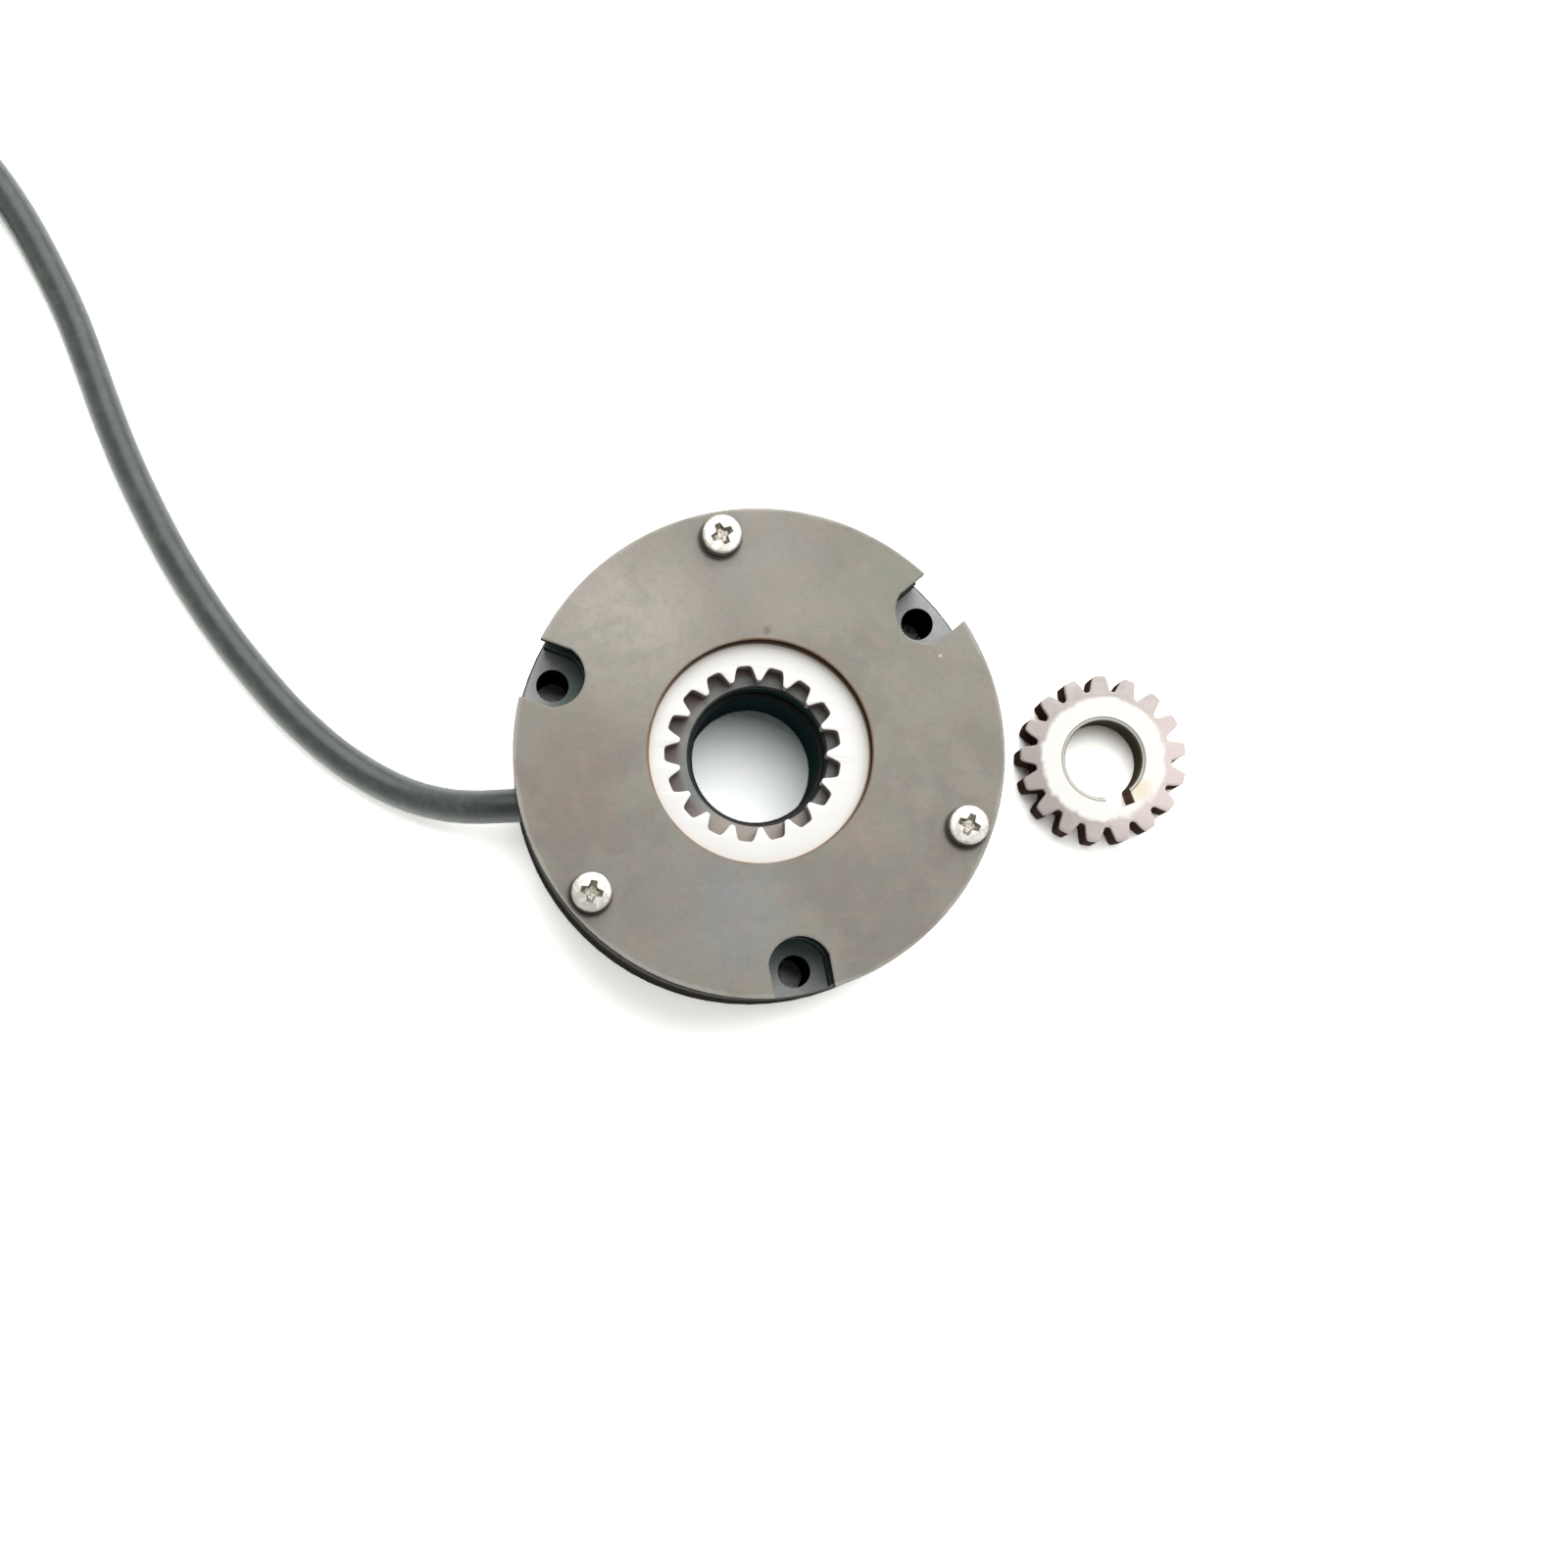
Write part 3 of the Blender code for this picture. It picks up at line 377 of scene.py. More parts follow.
class Finish:
    """A Principled material with procedural nodes, in the object's own metres.

    Its colours are 0 to 255 screen values, laid over each other one by one.
    """

    def __init__(self, name, metallic=0.0, centre=(0.0, 0.0)):
        self.material = bpy.data.materials.new(name)
        self.material.use_nodes = True
        self.tree = self.material.node_tree
        self.shader = self.tree.nodes["Principled BSDF"]
        self.shader.inputs["Metallic"].default_value = metallic
        coordinates = self.node("ShaderNodeTexCoord").outputs["Object"]
        shift = self.node("ShaderNodeVectorMath")
        shift.operation = "SUBTRACT"
        self.link(coordinates, shift.inputs[0])
        shift.inputs[1].default_value = (*centre, 0.0)
        self.place = shift.outputs[0]

    def node(self, kind):
        return self.tree.nodes.new(kind)

    def link(self, a, b):
        self.tree.links.new(a, b)

    def noise(self, size, detail=3.0, rough=0.55, distortion=0.0, stretch=(1.0, 1.0, 1.0), place=None):
        """Noise whose blotches are about the given size in metres."""
        scaled = self.node("ShaderNodeVectorMath")
        scaled.operation = "MULTIPLY"
        self.link(place or self.place, scaled.inputs[0])
        scaled.inputs[1].default_value = tuple(s / size for s in stretch)
        texture = self.node("ShaderNodeTexNoise")
        texture.inputs["Scale"].default_value = 1.0
        texture.inputs["Detail"].default_value = detail
        texture.inputs["Roughness"].default_value = rough
        texture.inputs["Distortion"].default_value = distortion
        self.link(scaled.outputs[0], texture.inputs["Vector"])
        return texture.outputs["Fac"]

    def polar(self, across, round_about, height):
        """Coordinates that run out from the axis, round it and up it, for turned marks."""
        split = self.node("ShaderNodeSeparateXYZ")
        self.link(self.place, split.inputs[0])
        angle = self.maths("ARCTAN2", split.outputs[1], split.outputs[0])
        joined = self.node("ShaderNodeCombineXYZ")
        self.link(self.times(self.radius(), across), joined.inputs[0])
        self.link(self.times(angle, round_about), joined.inputs[1])
        self.link(self.times(split.outputs[2], height), joined.inputs[2])
        return joined.outputs[0]

    def maths(self, operation, a, b=0.0):
        node = self.node("ShaderNodeMath")
        node.operation = operation
        for socket, value in zip(node.inputs, (a, b)):
            if isinstance(value, (int, float)):
                socket.default_value = value
            else:
                self.link(value, socket)
        return node.outputs[0]

    def times(self, a, b):
        return self.maths("MULTIPLY", a, b)

    def ragged(self, distance, noise, depth):
        """A distance made uneven by noise, so that what ends there has a ragged edge."""
        return self.maths("ADD", distance, self.times(noise, depth))

    def radius(self):
        """The distance from the finish's own axis."""
        return self.flat_length(self.place)

    def flat_length(self, vector):
        flat = self.node("ShaderNodeVectorMath")
        flat.operation = "MULTIPLY"
        self.link(vector, flat.inputs[0])
        flat.inputs[1].default_value = (1.0, 1.0, 0.0)
        length = self.node("ShaderNodeVectorMath")
        length.operation = "LENGTH"
        self.link(flat.outputs[0], length.inputs[0])
        return length.outputs["Value"]

    def away(self, x, y):
        """The distance from a point that is given from the finish's own axis."""
        shift = self.node("ShaderNodeVectorMath")
        shift.operation = "SUBTRACT"
        self.link(self.place, shift.inputs[0])
        shift.inputs[1].default_value = (x, y, 0.0)
        return self.flat_length(shift.outputs[0])

    def height(self):
        split = self.node("ShaderNodeSeparateXYZ")
        self.link(self.place, split.inputs[0])
        return split.outputs[2]

    def step(self, value, low, high):
        """0 below low and 1 above high, or the other way round if low is the higher."""
        node = self.node("ShaderNodeMapRange")
        node.interpolation_type = "SMOOTHSTEP"
        self.link(value, node.inputs["Value"])
        node.inputs["From Min"].default_value = low
        node.inputs["From Max"].default_value = high
        return node.outputs[0]

    def mix(self, factor, a, b):
        """Colour a where the factor is 0 and colour b where it is 1."""
        node = self.node("ShaderNodeMix")
        node.data_type = "RGBA"
        self.link(factor, node.inputs[0])
        for socket, value in ((node.inputs[6], a), (node.inputs[7], b)):
            if isinstance(value, tuple):
                socket.default_value = (*srgb(*value), 1.0)
            else:
                self.link(value, socket)
        return node.outputs[2]

    def start(self, factor, dark, light):
        """The colour that lies below all others, uneven between two shades."""
        self.base = self.mix(factor, dark, light)

    def lay(self, mask, colour, strength=1.0):
        """Lays a colour over the ones below where the mask is 1, at a strength from 0 to 1."""
        if strength < 1.0:
            mask = self.times(mask, strength)
        self.base = self.mix(mask, self.base, colour)

    def done(self):
        self.link(self.base, self.shader.inputs["Base Color"])
        return self.material

    def drive(self, socket, value, low, high):
        """Sets one of the shader's sockets between two levels by a value from 0 to 1."""
        node = self.node("ShaderNodeMapRange")
        self.link(value, node.inputs["Value"])
        node.inputs["To Min"].default_value = low
        node.inputs["To Max"].default_value = high
        self.link(node.outputs[0], self.shader.inputs[socket])

    def bump(self, value, depth, strength):
        node = self.node("ShaderNodeBump")
        node.inputs["Distance"].default_value = depth
        node.inputs["Strength"].default_value = strength
        self.link(value, node.inputs["Height"])
        self.link(node.outputs[0], self.shader.inputs["Normal"])


# Stains on the plate, the first one being a pale patch of painted sheen at its upper left: place from its
# axis, reach, colour and strength
PLATE_STAINS_AND_SHEEN = (
    (-0.024, 0.022, 0.020, (180, 173, 163), 0.85),
    (-0.034, 0.006, 0.010, (138, 129, 120), 0.50),
    (-0.033, -0.006, 0.013, (140, 127, 118), 0.75),
    (0.000, 0.034, 0.012, (155, 153, 145), 0.60),
    (0.004, 0.026, 0.010, (158, 151, 141), 0.70),
    (0.022, 0.029, 0.012, (137, 136, 124), 0.80),
    (0.031, 0.010, 0.014, (147, 143, 128), 0.70),
    (0.036, 0.004, 0.006, (129, 123, 107), 0.60),
    (0.022, -0.024, 0.016, (134, 128, 119), 0.85),
    (-0.004, -0.028, 0.012, (145, 150, 150), 0.85),
    (-0.016, -0.024, 0.012, (138, 137, 132), 0.70),
    (0.017, -0.012, 0.008, (155, 140, 131), 0.55),
)


# Small marks on the plate, as places from its axis, and how far the painted shadow round the screws lies
# off centre
RUST_SPOT = (0.0012, 0.0207)
PALE_SPECK = (0.0310, 0.0165)
SCREW_SHADOW_SHIFT = (0.0003, 0.0005)
# Where the armature has painted shade under the rotor, and the line round the hub's bore chamfer
ARMATURE_SHADE_RADII = (0.0170, 0.0185)
CHAMFER_LINE_RADIUS = 0.00758


def plate_finish():
    """Phosphated steel: warm grey with soft pinkish and greenish clouds and a few spots, a painted sheen,
    a painted highlight on its rim and painted shade round the screws and in the opening.
    """
    finish = Finish("plate_steel", centre=(BRAKE_X, 0.0))
    clouds = finish.noise(0.010, 3.0, 0.6, 0.4)
    pink = finish.noise(0.0045, 3.0, 0.6, 0.5)
    green = finish.noise(0.0055, 3.0, 0.6, 0.5, (1.0, 1.3, 1.0))
    grain = finish.noise(0.0007, 4.0, 0.7)
    finish.start(finish.step(clouds, 0.40, 0.60), (136, 131, 122), (147, 143, 133))
    # the stains, and a painted sheen from the first one
    for x, y, reach, colour, strength in PLATE_STAINS_AND_SHEEN:
        outward = finish.ragged(finish.away(x, y), clouds, reach)
        finish.lay(finish.step(outward, reach * 1.7, reach * 0.5), colour, strength)
    finish.lay(finish.step(pink, 0.44, 0.70), (160, 141, 132), 0.40)
    finish.lay(finish.step(green, 0.44, 0.70), (137, 140, 127), 0.40)
    finish.lay(finish.step(grain, 0.5, 0.8), (116, 109, 98), 0.32)
    # a small rust spot and a pale speck
    finish.lay(finish.step(finish.away(*RUST_SPOT), 0.0011, 0.0003), (112, 98, 86), 0.6)
    finish.lay(finish.step(finish.away(*PALE_SPECK), 0.0004, 0.0001), (226, 220, 205), 0.7)
    # painted shadow round the screw heads, shifted towards the lower left
    for angle in SCREW_ANGLES:
        x, y = on_circle(BOLT_CIRCLE_RADIUS, angle)
        outward = finish.away(x - SCREW_SHADOW_SHIFT[0], y - SCREW_SHADOW_SHIFT[1])
        finish.lay(finish.step(outward, HEAD_RADIUS + 0.0006, HEAD_RADIUS - 0.0001), (52, 45, 38), 0.85)
    # an orange brown line round the opening
    edge = finish.step(finish.radius(), PLATE_OPENING_RADIUS + 0.00045, PLATE_OPENING_RADIUS + 0.00015)
    patchy = finish.step(finish.noise(0.004, 2.0, 0.5), 0.30, 0.62)
    finish.lay(finish.times(edge, finish.times(patchy, 0.75)), (140, 104, 74))
    # painted highlight along the outer edge, paler
    highlit_rim = finish.ragged(finish.radius(), clouds, 0.0012)
    finish.lay(finish.step(highlit_rim, OUTER_RADIUS - 0.0002, OUTER_RADIUS + 0.0005), (184, 181, 172), 0.6)
    # walls: painted shade, dark brown, on the opening's wall, bluer in the notches and brown on the rim
    below = finish.step(finish.height(), PLATE_HIGH.z - 0.00010, PLATE_HIGH.z - 0.00030)
    finish.lay(finish.times(below, edge), (56, 44, 30))
    side = finish.step(finish.height(), PLATE_HIGH.z - 0.00025, PLATE_HIGH.z - 0.00060)
    finish.lay(finish.times(side, finish.maths("SUBTRACT", 1.0, edge)), (38, 46, 44))
    rim = finish.step(finish.radius(), OUTER_RADIUS - 0.0003, OUTER_RADIUS - 0.0001)
    finish.lay(finish.times(side, rim), (72, 68, 60))
    finish.drive("Specular IOR Level", side, 0.5, 0.0)
    finish.drive("Metallic", side, 0.25, 0.0)
    finish.drive("Roughness", grain, 0.42, 0.58)
    finish.bump(grain, 0.00004, 0.35)
    return finish.done()


def armature_finish():
    """Dull ground steel, greenish grey, with painted shade, purplish at the gaps' outer ends and dark teal
    under the rotor, and black in its bore.
    """
    finish = Finish("armature_steel", centre=(BRAKE_X, 0.0))
    clouds = finish.noise(0.005, 3.0, 0.6, 0.5)
    grain = finish.noise(0.0005, 4.0, 0.7)
    finish.start(finish.step(clouds, 0.35, 0.7), (128, 134, 131), (146, 141, 136))
    # painted shade, purplish, at the gaps' outer ends
    outward = finish.ragged(finish.radius(), clouds, 0.001)
    finish.lay(finish.step(outward, 0.0136, 0.0148), (112, 92, 90), 0.7)
    # painted shade under the rotor, dark teal
    finish.lay(finish.step(finish.radius(), *ARMATURE_SHADE_RADII), (34, 48, 46))
    # lighter on its lower side, where the light falls in
    finish.lay(finish.step(finish.away(-0.001, -0.016), 0.014, 0.006), (190, 179, 167), 0.65)
    finish.lay(finish.step(grain, 0.45, 0.8), (104, 102, 96), 0.3)
    # walls, and the bore's own wall and rim
    side = finish.step(finish.height(), ARMATURE_HIGH.z - 0.00015, ARMATURE_HIGH.z - 0.0004)
    finish.lay(side, finish.mix(finish.step(grain, 0.35, 0.7), (28, 42, 41), (50, 60, 57)))
    near_bore = finish.step(finish.radius(), ARMATURE_BORE_RADIUS + 0.0006, ARMATURE_BORE_RADIUS + 0.0003)
    finish.lay(finish.times(near_bore, side), (46, 70, 70))
    rim = finish.step(finish.radius(), ARMATURE_BORE_RADIUS + 0.00050, ARMATURE_BORE_RADIUS + 0.00032)
    on_top = finish.step(finish.height(), ARMATURE_HIGH.z - 0.0005, ARMATURE_HIGH.z - 0.0003)
    finish.lay(finish.times(rim, on_top), (34, 37, 35))
    finish.drive("Specular IOR Level", side, 0.5, 0.0)
    finish.drive("Metallic", side, 0.25, 0.0)
    finish.drive("Roughness", grain, 0.38, 0.55)
    finish.bump(grain, 0.00003, 0.3)
    return finish.done()


def stator_finish():
    """Steel under a thin dark oxide: bluish grey on its face, teal black on its walls and in its bores."""
    finish = Finish("stator_steel", centre=(BRAKE_X, 0.0))
    clouds = finish.noise(0.006, 3.0, 0.6, 0.4)
    turning = finish.noise(1.0, 2.0, 0.5, 0.0, place=finish.polar(9000.0, 2.0, 9000.0))
    grain = finish.noise(0.0006, 4.0, 0.7)
    # the face, with painted shade, darker and teal, at the notches' inner ends next to their walls, except
    # at the first notch
    finish.start(finish.step(clouds, 0.35, 0.7), (163, 166, 165), (182, 184, 181))
    inner = finish.step(finish.radius(), BOLT_CIRCLE_RADIUS + 0.003, BOLT_CIRCLE_RADIUS - 0.003)
    elsewhere = finish.step(finish.away(*on_circle(BOLT_CIRCLE_RADIUS, BOLT_ANGLES[0])), 0.006, 0.010)
    finish.lay(finish.times(inner, elsewhere), (112, 132, 126), 0.75)
    # the walls below it
    wall = finish.mix(finish.step(clouds, 0.35, 0.7), (32, 46, 45), (50, 60, 57))
    on_face = finish.step(finish.height(), STATOR_HIGH.z - 0.0004, STATOR_HIGH.z - 0.0001)
    finish.base = finish.mix(on_face, wall, finish.base)
    # a brown outer edge, and the bore, with painted shade on the ledge at its top, at the foot of the
    # armature's bore
    edge = finish.step(finish.radius(), OUTER_RADIUS - 0.00045, OUTER_RADIUS - 0.00025)
    finish.lay(edge, (52, 49, 43))
    near_bore = finish.step(finish.radius(), ARMATURE_BORE_RADIUS + 0.0006, ARMATURE_BORE_RADIUS + 0.0002)
    finish.lay(near_bore, (64, 94, 94))
    ledge = finish.step(finish.height(), STATOR_HIGH.z - 0.0012, STATOR_HIGH.z - 0.0008)
    finish.lay(finish.times(near_bore, ledge), (34, 39, 37))
    finish.lay(finish.step(grain, 0.5, 0.8), (40, 46, 48), 0.25)
    finish.drive("Specular IOR Level", on_face, 0.0, 0.5)
    finish.drive("Metallic", on_face, 0.0, 0.25)
    finish.drive("Roughness", turning, 0.42, 0.58)
    finish.bump(turning, 0.00002, 0.3)
    return finish.done()


def bright_finish():
    """Ground steel, nearly white, with fine turned rings and a tan edge."""
    finish = Finish("ground_steel", metallic=0.15, centre=ROTOR_CENTRE)
    rings = finish.noise(1.0, 2.0, 0.5, 0.0, place=finish.polar(7000.0, 1.5, 500.0))
    clouds = finish.noise(0.008, 2.0, 0.5)
    finish.start(finish.step(clouds, 0.3, 0.7), (250, 249, 245), (253, 252, 249))
    # a tan tint and a brown line where the plate's opening ends, partly a stain and partly painted shade
    # at the foot of the opening's wall
    outward = finish.away(BRAKE_X - ROTOR_CENTRE[0], -ROTOR_CENTRE[1])
    tan = finish.step(outward, PLATE_OPENING_RADIUS - 0.0016, PLATE_OPENING_RADIUS - 0.0004)
    finish.lay(tan, (246, 226, 200), 0.30)
    line = finish.step(outward, PLATE_OPENING_RADIUS - 0.00040, PLATE_OPENING_RADIUS - 0.00020)
    finish.lay(line, (116, 82, 54), 0.85)
    side = finish.step(finish.height(), CARRIER_HIGH.z - 0.00012, CARRIER_HIGH.z - 0.0003)
    finish.lay(side, (150, 136, 126))
    finish.drive("Roughness", rings, 0.34, 0.46)
    finish.bump(rings, 0.00001, 0.2)
    return finish.done()


def hub_finish():
    """Sintered steel: a bright machined middle with a soft edge and warm pinkish grey teeth."""
    finish = Finish("sintered_steel", centre=HUB_CENTRE)
    clouds = finish.noise(0.004, 3.0, 0.6, 0.5)
    grain = finish.noise(0.0004, 4.0, 0.75)
    # the teeth, paler at the right and darker at the left
    finish.start(finish.step(clouds, 0.35, 0.7), (194, 184, 180), (210, 202, 197))
    finish.lay(finish.step(finish.away(0.013, -0.003), 0.019, 0.006), (232, 216, 211), 0.8)
    finish.lay(finish.step(finish.away(-0.013, -0.006), 0.016, 0.004), (172, 162, 158), 0.85)
    finish.lay(finish.step(grain, 0.5, 0.8), (150, 130, 124), 0.3)
    # the machined middle, with a yellow stain
    finish.lay(finish.step(finish.ragged(finish.radius(), clouds, 0.003), 0.0131, 0.0121), (250, 248, 242))
    finish.lay(finish.step(finish.away(0.0066, -0.0056), 0.0030, 0.0008), (226, 196, 130), 0.35)
    # walls, the keyway's wall lighter with painted light
    below = finish.step(finish.height(), HUB_HIGH.z - 0.0003, HUB_HIGH.z - 0.0008)
    finish.lay(below, (78, 62, 54))
    keyway = finish.step(finish.radius(), KEYWAY_FLOOR_RADIUS + 0.0012, KEYWAY_FLOOR_RADIUS + 0.0006)
    finish.lay(finish.times(below, keyway), (150, 122, 106))
    # olive lines on both sides of the bore's bright chamfer, and the bore's own wall
    off_line = finish.maths("ABSOLUTE", finish.maths("SUBTRACT", finish.radius(), CHAMFER_LINE_RADIUS))
    finish.lay(finish.step(off_line, 0.00022, 0.00006), (112, 106, 86), 0.7)
    bore = finish.step(finish.radius(), HUB_BORE_RADIUS + 0.00022, HUB_BORE_RADIUS + 0.00008)
    finish.lay(bore, (98, 93, 77))
    finish.drive("Specular IOR Level", below, 0.5, 0.0)
    finish.drive("Metallic", below, 0.2, 0.0)
    finish.drive("Roughness", grain, 0.40, 0.6)
    finish.bump(grain, 0.00003, 0.4)
    return finish.done()


def nickel_finish():
    """Bright nickel plate, a little uneven, with painted shade on the heads' sides, which are also duller
    than their tops.
    """
    finish = Finish("nickel_plate")
    wear = finish.noise(0.0012, 3.0, 0.6, 0.5)
    finish.start(finish.step(wear, 0.35, 0.7), (208, 204, 193), (250, 248, 242))
    rim = SCREW_TOP - HEAD_CROWN
    # painted shade on the heads' sides
    side = finish.step(finish.height(), rim, rim - HEAD_ROUNDING * 0.8)
    finish.lay(side, (70, 64, 54), 0.9)
    finish.drive("Metallic", side, 0.5, 0.0)
    finish.drive("Specular IOR Level", side, 0.5, 0.1)
    finish.drive("Roughness", wear, 0.28, 0.42)
    finish.bump(wear, 0.00003, 0.25)
    return finish.done()


def sheath_finish():
    """A smooth black sheath, greenish where it shines, with faint scuffs."""
    finish = Finish("cable_sheath")
    scuffs = finish.noise(0.003, 4.0, 0.65, 0.4)
    finish.start(finish.step(scuffs, 0.4, 0.8), (74, 81, 77), (94, 101, 96))
    finish.drive("Roughness", scuffs, 0.32, 0.38)
    finish.bump(finish.noise(0.0004, 3.0, 0.6), 0.00003, 0.3)
    return finish.done()


def speckled_finish(name, dark, light, size, roughness, metallic=0.0):
    """A plain material with fine uneven colour, for inner and small pieces."""
    finish = Finish(name, metallic=metallic)
    specks = finish.noise(size, 4.0, 0.65)
    finish.start(finish.step(specks, 0.35, 0.7), dark, light)
    finish.drive("Roughness", specks, roughness - 0.06, roughness + 0.08)
    finish.bump(specks, 0.00003, 0.3)
    return finish.done()


def wound_finish():
    """Enamelled copper wire laid in close turns, drawn by bands up the winding."""
    finish = Finish("enamelled_copper", metallic=0.9, centre=(BRAKE_X, 0.0))
    bands = finish.maths("SINE", finish.times(finish.height(), 2 * math.pi / 0.0004))
    finish.start(finish.step(bands, -1.0, 1.0), (120, 52, 26), (214, 122, 74))
    finish.drive("Roughness", finish.noise(0.002), 0.25, 0.4)
    finish.bump(bands, 0.00006, 0.6)
    return finish.done()


PLATE = plate_finish()
ARMATURE = armature_finish()
STATOR = stator_finish()
BRIGHT = bright_finish()
HUB = hub_finish()
NICKEL = nickel_finish()
RECESS = speckled_finish("recess_shade", (128, 122, 108), (224, 219, 207), 0.0005, 0.35, 0.6)
SHEATH = sheath_finish()
LINING = speckled_finish("friction_lining", (62, 52, 44), (96, 82, 68), 0.0008, 0.85)
BOBBIN = speckled_finish("bobbin_plastic", (206, 200, 180), (222, 217, 200), 0.004, 0.45)
RESIN = speckled_finish("potting_resin", (26, 26, 27), (44, 44, 46), 0.003, 0.35)
SPRING = speckled_finish("spring_steel", (150, 150, 152), (196, 196, 198), 0.0006, 0.3, 1.0)
RUBBER = speckled_finish("bush_rubber", (34, 34, 34), (52, 52, 52), 0.0008, 0.7)
RED = speckled_finish("lead_red", (168, 28, 24), (196, 44, 36), 0.002, 0.4)
BLACK = speckled_finish("lead_black", (30, 30, 31), (50, 50, 52), 0.002, 0.4)
TIN = speckled_finish("tinned_copper", (186, 186, 188), (222, 222, 222), 0.0008, 0.3, 1.0)
COPPER = wound_finish()


# Pieces

def make_side_plate():
    notches = [(angle, *BOLT_NOTCH) for angle in BOLT_ANGLES]
    outlines = [notched_disc(OUTER_RADIUS, notches), circle(PLATE_OPENING_RADIUS, 180)]
    for angle in SCREW_ANGLES:
        outlines.append(circle(SCREW_HOLE_RADIUS, 32, on_circle(BOLT_CIRCLE_RADIUS, angle)))
    piece = plate(
        "side_plate_fine", outlines, PLATE_LOW.z, PLATE_HIGH.z, PLATE_EDGE, (BRAKE_X, 0.0), PLATE
    )
    shaded(piece)
    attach(piece, "stator")
    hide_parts("side_plate")


def make_armature():
    notches = [(angle, *BOLT_NOTCH) for angle in BOLT_ANGLES]
    notches += [(angle, *SPACER_NOTCH) for angle in SCREW_ANGLES]
    outlines = [notched_disc(ARMATURE_RADIUS, notches), circle(ARMATURE_BORE_RADIUS, ROUND_SIDES)]
    piece = plate(
        "armature_fine", outlines, ARMATURE_LOW.z, ARMATURE_HIGH.z, ARMATURE_EDGE, (BRAKE_X, 0.0), ARMATURE
    )
    shaded(piece)
    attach(piece, "armature")
    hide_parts("armature_plate")


def make_rotor():
    """The carrier: a thick toothed boss and a thinner web that the linings are bonded to."""
    gaps = tooth_outline(GAP_ROOT_RADIUS, GAP_TIP_RADIUS, ROTOR_PHASE, GAP_BACKLASH)
    boss = plate(
        "rotor_carrier_fine", [circle(CARRIER_BOSS_RADIUS, ROUND_SIDES), gaps],
        CARRIER_LOW.z, CARRIER_HIGH.z, BOSS_EDGE, ROTOR_CENTRE, BRIGHT,
    )
    middle = (CARRIER_LOW.z + CARRIER_HIGH.z) / 2
    web_hole = circle(CARRIER_BOSS_RADIUS - WEB_OVERLAP, ROUND_SIDES)
    web = plate(
        "web", [circle(CARRIER_RADIUS, ROUND_SIDES), web_hole],
        middle - CARRIER_WEB / 2, middle + CARRIER_WEB / 2, WEB_EDGE, ROTOR_CENTRE, BRIGHT, 1,
    )
    cut_by(boss, web, "UNION")
    shaded(boss)
    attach(boss, "rotor")
    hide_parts("rotor_carrier")


def make_hub():
    teeth = tooth_outline(HUB_ROOT_RADIUS, HUB_TIP_RADIUS, HUB_PHASE)
    hub = plate("rotor_hub_fine", [teeth], HUB_LOW.z, HUB_HIGH.z, HUB_EDGE, HUB_CENTRE, HUB)
    low = HUB_LOW.z - CUTTER_OVERSHOOT
    high = HUB_HIGH.z + CUTTER_OVERSHOOT
    mouth = HUB_BORE_RADIUS + HUB_BORE_CHAMFER + CUTTER_OVERSHOOT
    profile = [
        (0.0, high),
        (mouth, high),
        (HUB_BORE_RADIUS, HUB_HIGH.z - HUB_BORE_CHAMFER),
        (HUB_BORE_RADIUS, HUB_LOW.z + HUB_BORE_CHAMFER),
        (mouth, low),
        (0.0, low),
    ]
    cut_by(hub, turned_piece("bore", profile, 96, HUB, (*HUB_CENTRE, 0.0)))
    half = KEYWAY_WIDTH / 2
    slot = [(0.0, -half), (KEYWAY_FLOOR_RADIUS, -half), (KEYWAY_FLOOR_RADIUS, half), (0.0, half)]
    cut_by(hub, plate("key", [turned_points(slot, KEYWAY_ANGLE)], low, high, 0.0, HUB_CENTRE, HUB, 0))
    shaded(hub)
    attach(hub, "stator")
    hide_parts("rotor_hub")


def recess_cutter(top, place, angle):
    """A cross recess: four wings that narrow towards a blunt point below."""
    # height from the head's top, and the wings' length and width there as shares
    levels = ((0.0004, 1.16, 1.06), (-0.0001, 1.0, 1.0), (-0.0010, 0.76, 0.84), (-0.0013, 0.52, 0.70))
    reach = 0.00190
    half = 0.00052
    throat = 0.00086
    work = bmesh.new()
    rings = []
    for drop, length, width in levels:
        ring = []
        for wing in range(4):
            end = reach * length
            side = half * width
            inner = throat * (0.35 + 0.65 * length)
            for x, y in ((inner, -side * 1.35), (end, -side), (end, side), (inner, side * 1.35)):
                px, py = turned_points([(x, y)], angle + 90.0 * wing)[0]
                ring.append(work.verts.new((place[0] + px, place[1] + py, top + drop)))
        rings.append(ring)
    for upper, lower in zip(rings, rings[1:]):
        for i, corner in enumerate(upper):
            j = (i + 1) % len(upper)
            work.faces.new((corner, upper[j], lower[j], lower[i]))
    work.faces.new(rings[0])
    work.faces.new(list(reversed(rings[-1])))
    bmesh.ops.recalc_face_normals(work, faces=work.faces)
    mesh = bpy.data.meshes.new("recess")
    work.to_mesh(mesh)
    work.free()
    return add("recess", mesh, RECESS)


